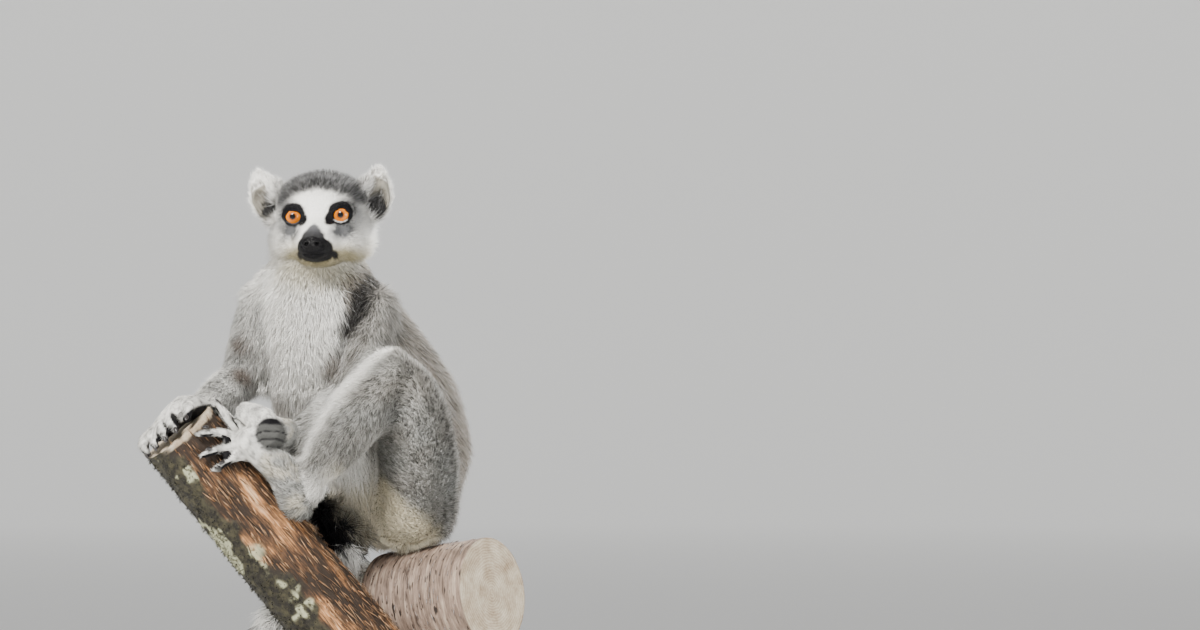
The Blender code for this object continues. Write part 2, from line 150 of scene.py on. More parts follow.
for node_name, finish in (("stand_base", oak), ("stand_rod_front", steel), ("stand_rod_back", steel)):
    node = frame["nodes"][node_name]
    for slot in node.material_slots:
        slot.material = finish


# ------------------------------------------------------------
# The slanting log: a dead branch sawn square at both ends. Its upper side is bare wood torn into long
# orange-brown fibres, and the old bark below is lumpy, dark and mossy with a few pale crusts of lichen.
# ------------------------------------------------------------

MM = 0.001
PERCH = np.array(((-131.0, -83.0, 414.0), (43.0, -34.0, 197.0)))
PERCH_TOP = PERCH[0]
PERCH_RADII = (36, 40)
FACE_RINGS = 28
TORN_DARK = (0.020, 0.012, 0.007, 1)
TORN_BROWN = (0.090, 0.044, 0.020, 1)
TORN_ORANGE = (0.34, 0.155, 0.058, 1)
TORN_PALE = (0.62, 0.42, 0.25, 1)
BARK_BLACK = (0.012, 0.010, 0.007, 1)
BARK_MOSS = (0.052, 0.046, 0.024, 1)
LICHEN = (0.34, 0.34, 0.22, 1)
SAWN = (0.52, 0.45, 0.34, 1)
SAWN_DARK = (0.24, 0.17, 0.105, 1)


def ease(low, high, value):
    """0 below low, 1 above high, and a smooth step between them."""
    share = np.clip((value - low) / (high - low), 0, 1)
    return share * share * (3 - 2 * share)


def lengths(vectors):
    return np.sqrt((vectors * vectors).sum(axis=1))


def unit(vectors):
    return vectors / np.maximum(lengths(vectors), 1e-9)[:, None]


def hump(value, middle, width):
    """1 in the middle and falling away to 0 on both sides, mostly within the width."""
    return np.exp(-(((value - middle) / width) ** 2))


def wander(points, size, seed):
    """Smooth random values from -1 to 1 that change over about the given size."""
    cell = points / size + seed * 7.31
    low = np.floor(cell).astype(np.int64)
    part = cell - low
    part = part * part * (3 - 2 * part)
    total = np.zeros(len(points))
    for corner in itertools.product((0, 1), repeat=3):
        key = (low + corner) @ np.array((73856093, 19349663, 83492791)) + seed * 2654435761
        key = (key ^ (key >> 13)) * 1274126177 & 0x7FFFFFFF
        key = (key ^ (key >> 16)) & 0xFFFF
        share = np.where(corner, part, 1 - part).prod(axis=1)
        total += share * (key / 32767.5 - 1)
    return total


def mesh_piece(name, points, loops, sizes, finish):
    """A smooth mesh object at the origin, from points in millimetres and the corners of its faces."""
    data = bpy.data.meshes.new(name)
    data.vertices.add(len(points))
    data.vertices.foreach_set("co", (points * MM).astype(np.float32).ravel())
    data.loops.add(len(loops))
    data.loops.foreach_set("vertex_index", loops.astype(np.int32))
    data.polygons.add(len(sizes))
    data.polygons.foreach_set("loop_start", (np.cumsum(sizes) - sizes).astype(np.int32))
    data.update(calc_edges=True)
    data.validate()
    data.shade_smooth()
    data.materials.append(finish)
    made = bpy.data.objects.new(name, data)
    bpy.context.scene.collection.objects.link(made)
    return made


def set_values(piece, name, values):
    """Keeps one number, or one colour, for each point of a piece."""
    if values.ndim == 1:
        piece.data.attributes.new(name, "FLOAT", "POINT").data.foreach_set("value", values.astype(np.float32))
        return
    kind, key = ("FLOAT_COLOR", "color") if values.shape[1] == 4 else ("FLOAT_VECTOR", "vector")
    kept = piece.data.attributes.new(name, kind, "POINT")
    kept.data.foreach_set(key, values.astype(np.float32).ravel())


def read_value(tree, name, output="Fac"):
    return add_node(tree, "Attribute", {}, attribute_name=name)[output]


def mix(tree, share, first, second):
    """A mix of two colours, whose sockets on the node are the seventh and eighth."""
    return add_node(tree, "Mix", {0: share, 6: first, 7: second}, data_type="RGBA", clamp_factor=True)[2]


def math_node(tree, operation, *values):
    return add_node(tree, "Math", dict(enumerate(values)), operation=operation)[0]


def weighted(tree, *terms):
    """The sum of some values, each times its own weight."""
    total = 0.0
    for value, weight in terms:
        total = math_node(tree, "MULTIPLY_ADD", value, weight, total)
    return total


def log_frame(start, end):
    """A log's length, its direction, and the directions across it: up, and then towards the front."""
    axis = (end - start) / np.linalg.norm(end - start)
    up = np.array((0, 0, 1.0)) - axis * axis[2]
    up /= np.linalg.norm(up)
    return np.linalg.norm(end - start), axis, up, np.cross(axis, up)


def log_points(log, radii, around, along):
    """Points round a log in rings from one sawn face to the other, with their place along and round it."""
    length, axis, up, front = log_frame(*log)
    inward = np.linspace(0, 0.98, FACE_RINGS)
    share = np.concatenate((np.zeros(len(inward)), np.linspace(0, 1, along), np.ones(len(inward))))
    reach = np.concatenate((inward, np.ones(along), inward[::-1]))
    turn = np.arange(around) * 2 * math.pi / around
    share, angle = (grid.ravel() for grid in np.meshgrid(share, turn, indexing="ij"))
    reach = np.repeat(reach, around)
    radius = (radii[0] + (radii[1] - radii[0]) * share) * reach
    cosine, sine = np.cos(angle), np.sin(angle)
    out = np.outer(cosine, up) + np.outer(sine, front)
    middle = log[0] + np.outer(share * length, axis)
    arc = np.stack((share * length, cosine * radii[0] * reach, sine * radii[0] * reach), axis=1)
    return middle, out, radius, arc, angle, reach


def ring_faces(rings, around):
    """Corners of the quads between rings of points."""
    ring, side = np.meshgrid(np.arange(rings - 1), np.arange(around), indexing="ij")
    ring, side = ring.ravel(), side.ravel()
    after = (side + 1) % around
    corners = np.stack((ring * around + side, ring * around + after,
                        (ring + 1) * around + after, (ring + 1) * around + side), axis=1)
    return corners.ravel(), np.full(len(corners), 4)


def join_points(data, reach):
    """Joins the points of a mesh that lie on each other, such as those in the middle of a sawn face."""
    mesh = bmesh.new()
    mesh.from_mesh(data)
    bmesh.ops.remove_doubles(mesh, verts=mesh.verts, dist=reach)
    mesh.to_mesh(data)
    mesh.free()


def log_piece(name, points, around, finish, values):
    """A log as one closed piece that keeps the values its wood and bark are coloured by."""
    loops, sizes = ring_faces(len(points) // around, around)
    made = mesh_piece(name, points, loops, sizes, finish)
    for label, kept in values.items():
        set_values(made, label, kept)
    join_points(made.data, 1e-6)
    return made


def log_material(name, roughness):
    made, tree, shader = new_material(name, roughness, specular=0.3)
    return made, tree, shader, read_value(tree, "log_place", "Vector")


def scaled(tree, vector, scale):
    return add_node(tree, "VectorMath", {0: vector, 1: scale}, operation="MULTIPLY")[0]


def new_group(name, inputs):
    """A shader node group with named inputs that gives a colour, and the sockets to build between."""
    group = bpy.data.node_groups.new(name, "ShaderNodeTree")
    for label, kind in inputs:
        group.interface.new_socket(name=label, in_out="INPUT", socket_type="NodeSocket" + kind)
    group.interface.new_socket(name="Colour", in_out="OUTPUT", socket_type="NodeSocketColor")
    return group, group.nodes.new("NodeGroupInput").outputs, group.nodes.new("NodeGroupOutput").inputs


year_rings, given, result = new_group("year_rings", (("Place", "Vector"), ("Contrast", "Float")))
wave_inputs = {"Vector": given["Place"], "Scale": 130, "Distortion": 7, "Detail": 5, "Detail Scale": 0.7}
wave = add_node(year_rings, "TexWave", wave_inputs, wave_type="RINGS", rings_direction="X")["Fac"]
cloud = noise(year_rings, scaled(year_rings, given["Place"], (70, 70, 70)), 1, 5, 0.6)
cracks = noise(year_rings, scaled(year_rings, given["Place"], (500, 500, 500)), 1, 3, 0.6)
tone = weighted(year_rings, (wave, given["Contrast"]), (cloud, 0.85), (cracks, 0.3))
year_rings.links.new(ramp(year_rings, tone, ((0.42, SAWN_DARK), (0.85, SAWN))), result["Colour"])

# The uneven shade of anything that grew: a colour made darker and lighter by a fine noise.
uneven_shade, given, result = new_group(
    "uneven_shade", (("Colour", "Color"), ("Place", "Vector"), ("Fineness", "Float"), ("Depth", "Float")))
grain = noise(uneven_shade, given["Place"], given["Fineness"], 3, 0.5)
spread = math_node(uneven_shade, "MULTIPLY", math_node(uneven_shade, "SUBTRACT", grain, 0.5), given["Depth"])
shade_inputs = {0: given["Colour"], "Scale": math_node(uneven_shade, "MULTIPLY_ADD", spread, 2.0, 1.0)}
shaded = add_node(uneven_shade, "VectorMath", shade_inputs, operation="SCALE")[0]
uneven_shade.links.new(shaded, result["Colour"])


def colour_from(tree, shader, name, fineness, depth):
    """The colour kept on a piece's points, made uneven, as the material's colour."""
    sources = {"Colour": read_value(tree, name, "Color"), "Place": stretched(tree, (1, 1, 1)),
               "Fineness": fineness, "Depth": depth}
    shaded = add_node(tree, "Group", sources, node_tree=uneven_shade)[0]
    tree.links.new(shaded, shader.inputs["Base Color"])


def colour_log(tree, shader, place, side, contrast):
    """A log's colour: that of its side, and faint year rings where it is sawn through."""
    face = add_node(tree, "Group", {"Place": place, "Contrast": contrast}, node_tree=year_rings)[0]
    tree.links.new(mix(tree, read_value(tree, "sawn"), side, face), shader.inputs["Base Color"])


torn, tree, shader, place = log_material("torn_wood", 0.78)
fibre = noise(tree, scaled(tree, place, (38, 700, 700)), 1, 6, 0.65)
patch = noise(tree, scaled(tree, place, (30, 90, 90)), 1, 5, 0.6)
tone = weighted(tree, (fibre, 0.6), (patch, 0.75), (read_value(tree, "stain"), -0.32))
wood = ramp(tree, tone, ((0.53, TORN_DARK), (0.64, TORN_BROWN), (0.74, TORN_ORANGE), (0.90, TORN_PALE)))
lumps = noise(tree, scaled(tree, place, (150, 150, 150)), 1, 8, 0.65)
crust = ramp(tree, lumps, ((0.42, BARK_BLACK), (0.66, BARK_MOSS)))
crumbs = ramp(tree, lumps, ((0.38, BARK_MOSS), (0.50, LICHEN)))
crust = mix(tree, read_value(tree, "lichen"), crust, crumbs)
side = mix(tree, read_value(tree, "bare"), crust, wood)
colour_log(tree, shader, place, side, 0.2)
bump(tree, shader, math_node(tree, "ADD", fibre, lumps), 0.0009)

PERCH_AROUND, PERCH_ALONG = 176, 170
middle, out, radius, arc, angle, reach = log_points(PERCH, PERCH_RADII, PERCH_AROUND, PERCH_ALONG)
far = arc[:, 0]
edge = 0.35 * wander(arc, 45, 1) + 0.25 * wander(arc, 14, 2) + 0.12 * wander(arc * (0.3, 1, 1), 5, 3)
turned = np.abs((angle - 0.75 + math.pi) % (2 * math.pi) - math.pi)
bare = ease(0.10, -0.10, turned - 1.35 + 1.0 * edge)
on_side = reach > 0.999
sawn = 1.0 - on_side
lip = ease(5.2, 4.0, far + 1.2 * wander(arc, 4, 10)) * ease(0.8, 0.3, turned - 0.9)
stain = 0.75 * ease(52, 30, far) + 0.55 * ease(118, 165, far) + 0.75 * wander(arc * (0.35, 1, 1), 15, 14)
lichen = ease(0.30, 0.46, wander(arc, 22, 15) + 0.45 * wander(arc, 5, 16) + 0.2 * ease(60, 20, far))
ridges = wander(arc * (0.06, 1, 1), 2.2, 4) + 0.6 * wander(arc * (0.1, 1, 1), 5, 5)
gouges = -ease(0.25, 0.7, wander(arc * (0.12, 1, 1), 9, 6))
lumpy = wander(arc, 13, 7) + 0.6 * wander(arc, 5, 8)
swell = bare * (-2.4 + 0.55 * ridges + 1.6 * gouges) + (1 - bare) * (-0.6 + 0.8 * lumpy)
radius = radius + swell * reach
points = middle + out * radius[:, None]
pits = wander(points, 2.5, 9) * sawn * reach * 0.4
points = points - np.outer(pits, log_frame(*PERCH)[1])
perch = log_piece("perch_wood", points, PERCH_AROUND, torn, {
    "log_place": arc * MM, "bare": bare, "sawn": np.maximum(sawn, lip), "stain": np.clip(stain, -0.4, 1.1),
    "lichen": lichen})

# How much of an unwrap one tuft takes, and how many millimetres of a log fill an unwrap.
TUFT_SPOT = 0.003
LOG_UNWRAP = 400


def grow(name, root, normal, lie, length, width, rise, colours, spot, finish, droop=0.0, bends=1):
    """Solid tufts over a skin, each a thin three-sided spike that leaves the skin and then lies down.

    A short tuft is straight, and a longer one has one or two bends. The place, directions, length, width,
    rise and the colours of root and tip are given for each tuft, and spot is its place on the unwrap.
    """
    base_colour, tip_colour = colours
    count = len(root)
    across = unit(np.cross(lie, normal))
    slope = np.clip(rise / length, 0.05, 0.95)
    shares = ((0.0, 1.0), (0.0, 0.42, 1.0), (0.0, 0.28, 0.62, 1.0))[bends]
    steepness = ((1.0,), (1.35, 0.75), (1.5, 1.0, 0.55))[bends]
    widths = ((1.0,), (0.8, 0.9), (0.75, 1.0, 0.75))[bends]
    centres = [root]
    for step, steep in enumerate(steepness):
        lift = np.clip(slope * steep, 0.0, 0.97)
        along = lie * np.sqrt(1 - lift * lift)[:, None] + normal * lift[:, None]
        along[:, 2] -= droop * (step + 1)
        along = unit(along)
        centres.append(centres[-1] + along * (length * (shares[step + 1] - shares[step]))[:, None])
    rows, spots, colours = [], [], []
    for centre, wide, share in zip(centres, widths, shares):
        half = across * (width * wide * 0.5)[:, None]
        thick = normal * (width * wide * 0.45)[:, None]
        rows += [centre - half, centre + half, centre + thick]
        for side_step in (-0.5, 0.5, 0.0):
            spots.append(spot + np.array((side_step, share - 0.5)) * TUFT_SPOT)
            colours.append(base_colour * (1 - share) + tip_colour * share)
    rows.append(centres[-1])
    spots.append(spot + np.array((0.0, 0.5)) * TUFT_SPOT)
    colours.append(tip_colour)
    each = len(rows)
    points = np.stack(rows, axis=1).reshape(-1, 3)
    sides = ((0, 1), (1, 2), (2, 0))
    corners = [(0, 1, 2)]
    for low in range(0, bends * 3, 3):
        for a, b in sides:
            corners += [(low + b, low + a, low + 3 + a), (low + b, low + 3 + a, low + 3 + b)]
    corners = np.array(corners + [(bends * 3 + b, bends * 3 + a, each - 1) for a, b in sides])
    loops = (corners[None] + (np.arange(count) * each)[:, None, None]).ravel()
    piece = mesh_piece(name, points, loops, np.full(len(loops) // 3, 3), finish)
    colours = np.stack(colours, axis=1).reshape(-1, 3)
    set_values(piece, "coat_colour", np.column_stack((colours, np.ones(len(colours)))))
    patches = np.clip(np.stack(spots, axis=1).reshape(-1, 2), 0.001, 0.999)
    unwrap = piece.data.uv_layers.new(name="OFBake")
    corner_points = np.empty(len(piece.data.loops), np.int32)
    piece.data.loops.foreach_get("vertex_index", corner_points)
    unwrap.data.foreach_set("uv", patches[corner_points].astype(np.float32).ravel())
    return piece


def stand_on(surface, name, rows, lie, sizes, colours):
    """Splinters, moss or curls on a log. sizes are the least and most length, width and rise of one."""
    points, out, arc = (values[rows] for values in surface)
    drawn = [rng.uniform(low, high, len(rows)) for low, high in sizes]
    return grow(name, points, out, lie, *drawn, colours, arc[:, :2] / LOG_UNWRAP + 0.3, splinter)


def blend(first, second, share):
    """Colours between two, without their last number."""
    return np.array(first[:3]) * (1 - share) + np.array(second[:3]) * share


SPLINTER_COUNT, MOSS_COUNT = 900, 3200
rng = np.random.default_rng(7)
splinter, tree, shader = new_material("splinters", 0.7, specular=0.3)
colour_from(tree, shader, "coat_colour", 700, 0.5)
length, axis, up, front = log_frame(*PERCH)
surface = (points, out, arc)
wooded = (bare > 0.6) & on_side & (far > 8) & (far < length - 8)
wood_rows = rng.choice(np.flatnonzero(wooded), SPLINTER_COUNT)
moss_rows = rng.choice(np.flatnonzero((bare < 0.2) & on_side), MOSS_COUNT)
either_way = np.sign(rng.random(SPLINTER_COUNT) - 0.35)[:, None]
wood_lie = unit(axis * either_way + 0.12 * rng.normal(size=(SPLINTER_COUNT, 3)))
shade = rng.random((SPLINTER_COUNT, 1)) ** 1.3 * (1 - 0.7 * np.clip(stain[wood_rows], 0, 1))[:, None]
slivers = stand_on(surface, "perch_splinters", wood_rows, wood_lie, ((5, 17), (0.7, 1.6), (0.4, 2.2)),
                   (blend(TORN_DARK, TORN_ORANGE, shade), blend(TORN_BROWN, TORN_PALE, shade)))
moss_lie = unit(rng.normal(size=(MOSS_COUNT, 3)) + (0, 0, -0.5))
shade = rng.random((MOSS_COUNT, 1))
moss_tip = np.array((0.020, 0.017, 0.009)) + shade * (0.050, 0.048, 0.022)
moss_tip = moss_tip + lichen[moss_rows, None] * (0.14, 0.14, 0.08)
moss = stand_on(surface, "perch_moss", moss_rows, moss_lie, ((1.6, 4.2), (0.7, 1.3), (0.8, 2.4)),
                (np.full((MOSS_COUNT, 3), 0.010), moss_tip))
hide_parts("perch_log")
for piece in (perch, slivers, moss):
    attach(piece, "root")


# ------------------------------------------------------------
# The seat: a sawn length of a smooth-barked tree, whose papery bark runs round it in thin grey-brown
# bands with dark breathing slits, and curls at its edges. Small knots mark where twigs dropped off.
# ------------------------------------------------------------

SEAT = np.array(((48.0, 25.0, 259.0), (138.0, -36.0, 273.0)))
SEAT_RADII = (47, 49)
BAND_DARK = (0.045, 0.030, 0.022, 1)
BAND_GREY = (0.21, 0.150, 0.115, 1)
BAND_PALE = (0.37, 0.295, 0.225, 1)
SLIT = (0.022, 0.015, 0.011, 1)

banded, tree, shader, place = log_material("banded_bark", 0.7)
bands = noise(tree, scaled(tree, place, (330, 34, 34)), 1, 6, 0.65)
stain = noise(tree, scaled(tree, place, (45, 45, 45)), 1, 3)
tone = weighted(tree, (bands, 0.7), (stain, 0.3))
paper = ramp(tree, tone, ((0.36, BAND_DARK), (0.52, BAND_GREY), (0.66, BAND_PALE)))
slits = noise(tree, scaled(tree, place, (330, 75, 75)), 1, 1)
slit_share = ramp(tree, slits, ((0.655, (0, 0, 0, 1)), (0.69, (1, 1, 1, 1))))
side = mix(tree, slit_share, paper, SLIT)
colour_log(tree, shader, place, side, 0.16)
bump(tree, shader, math_node(tree, "SUBTRACT", bands, slits), 0.0011)

SEAT_AROUND, SEAT_ALONG = 200, 120
CURL_COUNT = 420
# How far along the seat each knot is, in millimetres, and where round it.
KNOTS = ((74, 0.35), (92, 2.9), (40, 5.1), (88, 5.6), (66, 4.4), (28, 2.2))
middle, out, radius, arc, angle, reach = log_points(SEAT, SEAT_RADII, SEAT_AROUND, SEAT_ALONG)
far = arc[:, 0]
on_side = reach > 0.999
sawn = 1.0 - on_side
bands = wander(arc * (1, 0.06, 0.06), 2.6, 11) + 0.8 * wander(arc * (1, 0.12, 0.12), 7, 12)
swell = -0.8 + 0.36 * bands + 0.3 * wander(arc * (1, 0.3, 0.3), 4, 17) + 0.9 * wander(arc, 40, 13)
for knot_far, knot_angle in KNOTS:
    apart_round = (angle - knot_angle + math.pi) % (2 * math.pi) - math.pi
    apart = np.hypot(far - knot_far, 48 * apart_round)
    swell += 2.4 * hump(apart, 0, 4.2) - 3.0 * hump(apart, 0, 1.6)
points = middle + out * (radius + swell * reach)[:, None]
seat = log_piece("seat_wood", points, SEAT_AROUND, banded, {"log_place": arc * MM, "sawn": sawn})
length, axis, up, front = log_frame(*SEAT)
curl_rows = rng.choice(np.flatnonzero(on_side & (far > 4) & (far < length - 3)), CURL_COUNT)
round_way = unit(np.cross(axis, out[curl_rows]))
shade = rng.random((CURL_COUNT, 1))
round_way = round_way * np.sign(rng.random((CURL_COUNT, 1)) - 0.5)
curls = stand_on((points, out, arc), "seat_curls", curl_rows, round_way, ((3, 9), (0.6, 1.5), (0.3, 1.6)),
                 (np.array(BAND_DARK[:3]) + shade * 0.1, np.array(BAND_GREY[:3]) + shade * 0.16))
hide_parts("seat_log")
for piece in (seat, curls):
    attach(piece, "root")


# ------------------------------------------------------------
# The skin: one thin tanned hide over the whole body, set in from the solids by the depth of the coat. The
# head has lids, nostrils, lips and cupped ears, and the hands and feet are close to bare at their pads.
# ------------------------------------------------------------

EYE_MIDDLE = np.array((-14.0, -58.0, 601.0))
HEAD_TURN, HEAD_ROLL = 6, 2
EYE_APART, EYE_RADIUS = 42, 9.5
LID_WIDE, LID_ABOVE, LID_BELOW = 6.9, 4.9, 6.1
EAR_REACH = np.array((48.0, 44.0, 18.0))
EAR_LEAN, EAR_TURN = 30, 20
EAR_WIDE, EAR_LONG = 19, 28
# Half widths of a trimmed ear to its outer and inner edge, at heights from its notch to its tip.
EAR_HEIGHTS = (-28, -22, -5, 6, 12, 18, 23, 26)
EAR_OUTER = (5, 10.5, 17, 17, 14.5, 11, 6.5, 3.5)
EAR_INNER = (9, 12, 19, 17.5, 12.5, 8.5, 5.5, 3)
EARS = ((-1, "ear_right"), (1, "ear_left"))
EAR_TIP = {-1: -1.5, 1: -5.5}
EAR_MOVE = {-1: np.array((0.0, 0.0, -1.0)), 1: np.array((-4.5, 0.0, -3.5))}
LEGS = ("thigh_left", "thigh_right", "shin_left", "shin_right")
ARMS = ("upper_arm_left", "upper_arm_right", "forearm_left", "forearm_right")
TAIL = ("tail_1", "tail_2", "tail_3", "tail_4", "tail_5")
BODY = ("neck", "trunk") + LEGS + ARMS + TAIL
FACE = ("head", "ear_left", "ear_right")
PAWS = ("hand_left", "hand_right", "foot_left", "foot_right")
FLESH = BODY + FACE + PAWS
# The body's hide runs on under the head's and the paws' own, so that no edge shows.
BODY_HIDE = BODY + ("head",) + PAWS
# How deep the coat is over each part, in millimetres.
COAT_DEPTH = dict.fromkeys(PAWS, 0.3) | dict.fromkeys(TAIL, 12) | {
    "neck": 12, "trunk": 12, "thigh_left": 7, "thigh_right": 7, "shin_left": 6, "shin_right": 5,
    "upper_arm_left": 8, "upper_arm_right": 7, "forearm_left": 5, "forearm_right": 5,
    "head": 6, "ear_left": 2.2, "ear_right": 2.2,
}

# The solids are swollen by this much before they run together, and the hide is set back by as much.
SWOLLEN = 0.5

turn = math.radians(HEAD_TURN)
forward = Vector((-math.sin(turn), -math.cos(turn), 0))
level = Matrix((Vector((math.cos(turn), -math.sin(turn), 0)), -forward, Vector((0, 0, 1)))).transposed()
HEAD_AXES = np.array(Matrix.Rotation(math.radians(HEAD_ROLL), 3, forward) @ level)


def to_head(points):
    """Millimetres left, back and up from between the eyes."""
    return (points - EYE_MIDDLE) @ HEAD_AXES


def from_head(points):
    return points @ HEAD_AXES.T + EYE_MIDDLE


def ear_axes(side):
    turned = Matrix.Rotation(math.radians(side * EAR_TURN), 3, "Z")
    return np.array(turned @ Matrix.Rotation(math.radians(side * EAR_LEAN), 3, "Y"))


def apply(piece, kind, **settings):
    modifier = piece.modifiers.new(kind.title(), kind)
    for name, value in settings.items():
        setattr(modifier, name, value)
    bpy.ops.object.select_all(action="DESELECT")
    piece.select_set(True)
    bpy.context.view_layer.objects.active = piece
    bpy.ops.object.modifier_apply(modifier=modifier.name)


def triples(rows, name, kind=np.float32):
    """Three numbers for each point or triangle of a mesh."""
    flat = np.empty(len(rows) * 3, kind)
    rows.foreach_get(name, flat)
    return flat.reshape(-1, 3)


def points_of(piece):
    return triples(piece.data.vertices, "co").astype(float) / MM


def normals_of(piece):
    return triples(piece.data.vertex_normals, "vector").astype(float)


def move_points(piece, points):
    piece.data.vertices.foreach_set("co", (points * MM).astype(np.float32).ravel())
    piece.data.update()


def run_together(name, node_names, voxel, smoothing):
    """One closed hide over the named solids, with their meeting edges smoothed away."""
    copies = []
    for node_name in node_names:
        copy = frame["nodes"][node_name].copy()
        copy.data = copy.data.copy()
        copy.parent = None
        bpy.context.scene.collection.objects.link(copy)
        join_points(copy.data, 1e-5)
        apply(copy, "DISPLACE", strength=SWOLLEN * MM, mid_level=0)
        copies.append(copy)
    bpy.ops.object.select_all(action="DESELECT")
    for copy in copies:
        copy.select_set(True)
    bpy.context.view_layer.objects.active = copies[0]
    bpy.ops.object.join()
    hide = bpy.context.object
    hide.name = name
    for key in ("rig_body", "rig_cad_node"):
        if key in hide:
            del hide[key]
    hide.data.materials.clear()
    apply(hide, "REMESH", mode="VOXEL", voxel_size=voxel * MM)
    apply(hide, "SMOOTH", factor=0.5, iterations=smoothing)
    return hide


def nearness(points, node_names, reach=11.0):
    """The share that each named solid has in each point: the nearest counts most."""
    shares = np.zeros((len(points), len(node_names)))
    for column, node_name in enumerate(node_names):
        low, high = (np.array(corner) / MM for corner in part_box(node_name))
        inside = ((points > low - reach) & (points < high + reach)).all(axis=1)
        data = frame["nodes"][node_name].data
        data.calc_loop_triangles()
        corners = [tuple(triangle.vertices) for triangle in data.loop_triangles]
        tree = BVHTree.FromPolygons([vertex.co for vertex in data.vertices], corners)
        for row in np.flatnonzero(inside):
            found = tree.find_nearest(points[row] * MM, reach * MM)
            if found[0] is not None:
                shares[row, column] = (1 - found[3] / (reach * MM)) ** 3
    total = shares.sum(axis=1)
    nearest = total[:, None] > 1e-6
    return np.where(nearest, shares / np.maximum(total, 1e-6)[:, None], 1 / len(node_names))


def spot_share(points, middle, radii, soft=0.25):
    """1 inside an egg-shaped spot and 0 outside it, with a soft edge."""
    away = lengths((points - middle) / radii)
    return ease(1 + soft, 1 - soft, away)


def face_depth(places):
    """The coat's depth over the head: close on the face and muzzle, full over the cheeks and the crown."""
    away = lengths((places - (0, -14, -8)) * (1.0, 0.9, 1.0))
    depth = 0.8 + 6.0 * ease(26, 62, away)
    cheek = ease(14, 40, np.abs(places[:, 0])) * ease(-2, -22, places[:, 2]) * ease(0, 30, places[:, 1])
    return depth + 3.0 * cheek


def set_in(hide, depth, steps=4, smoothing=1):
    """Sinks the hide by a depth for each point, in small steps so that it doesn't fold."""
    for _ in range(steps):
        move_points(hide, points_of(hide) - normals_of(hide) * (depth / steps)[:, None])
        if smoothing:
            apply(hide, "SMOOTH", factor=0.4, iterations=smoothing)


def lid_place(across, up, side):
    """0 at the middle of an eye and 1 at the edge of its lids."""
    return np.hypot((across - side * EYE_APART / 2) / LID_WIDE, up / np.where(up > 0, LID_ABOVE, LID_BELOW))


def fill_out(places, weight):
    """The corners of the crown and the cheek made as full as the coat over them stands."""
    across, back, up = places.T.copy()
    for side, corner, cheek in ((-1, 6.0, 1.5), (1, 5.0, -1.0)):
        near = hump(side * across, 30, 12) * hump(up, 24, 12) * ease(48, 25, np.abs(back - 8))
        across = across + side * 0.8 * corner * near * weight
        up = up + 0.6 * corner * near * weight
        near = hump(side * across, 36, 13) * hump(up, -22, 20) * ease(45, 20, np.abs(back - 12))
        across = across + side * cheek * near * weight
    up = up + 2.5 * ease(20, 36, up) * ease(34, 18, np.abs(across)) * ease(50, 25, np.abs(back - 8)) * weight
    return np.stack((across, back, up), axis=1)


def lip_line(across):
    """The height at which the lips meet."""
    return -34.2 + 0.016 * across**2


def shape_head(places):
    """Sockets with lids, nostrils, lips and brow, in the head's own millimetres."""
    across, back, up = places.T.copy()
    for side in (-1, 1):
        eye_across, eye_up = across - side * EYE_APART / 2, up.copy()
        place = lid_place(across, up, side)
        in_socket = (back >= 16) & (back < 34) & (place < 1.8)
        near = in_socket | ((back < 16) & (place < 2.6))
        # The points nearest the lids' edge are drawn onto it, so that it runs clean.
        drawn = np.where((place > 0.87) & (place < 1), 0.955, place)
        drawn = np.where((place >= 1) & (place < 1.13), 1.0, drawn)
        drawn = np.where(near, drawn / np.maximum(place, 0.01), 1.0)
        eye_across, eye_up, place = eye_across * drawn, eye_up * drawn, place * drawn
        across, up = side * EYE_APART / 2 + eye_across, eye_up.copy()
        from_middle = np.minimum(np.hypot(eye_across, eye_up), EYE_RADIUS - 0.1)
        ball = EYE_RADIUS - np.sqrt(EYE_RADIUS**2 - from_middle**2)
        place = np.where(np.abs(place - 1) < 1e-6, 1.0, place)
        socket = np.hypot(eye_across / LID_WIDE, eye_up / LID_BELOW)
        lid = ball - 0.75 - 0.55 * hump(place, 1.25, 0.2) + 0.6 * in_socket
        lift = 1.1 * hump(socket, 1.4, 0.25) * (eye_up > 0)
        rim = ease(1.8, 1.3, socket)
        lidded = np.minimum(back, back * (1 - rim) + lid * rim) - 0.3 * lift
        back = np.where(near & (place >= 1), lidded, back)
        back = np.where(near & (place < 1), ball + 1.6, back)
        # A soft crease above the upper lid.
        back = back + 0.9 * hump(socket, 1.9, 0.16) * ease(-2, 4, eye_up) * near
    muzzle = ease(-10, -24, back)
    for side in (-1, 1):
        aside = across - side * 4.6
        nostril = np.hypot(aside / 2.3, (up + 25.2 - 0.35 * np.abs(aside)) / 1.9)
        back = back + 3.2 * ease(1.0, 0.35, nostril) * (back < -24)
        flare = np.hypot((across - side * 5.2) / 4.6, (up + 24) / 4.8)
        back = back - 0.9 * ease(1.35, 0.7, flare) * (back < -22)
        slit = np.hypot((across - side * 8.2) / 2.2, (up + 27.2) / 1.0)
        back = back + 1.4 * ease(1.1, 0.5, slit) * (back < -18)
    back = back + 0.9 * hump(across, 0, 0.9) * ease(-36, -33, up) * ease(-26, -29, up) * muzzle
    below_lips = up - lip_line(across)
    back = back + 1.7 * hump(below_lips, 0, 0.85) * ease(19, 15, np.abs(across)) * ease(2, -8, back)
    back = back - 0.8 * hump(below_lips, -2.6, 1.6) * ease(15, 9, np.abs(across)) * muzzle
    return np.stack((across, back, up), axis=1)


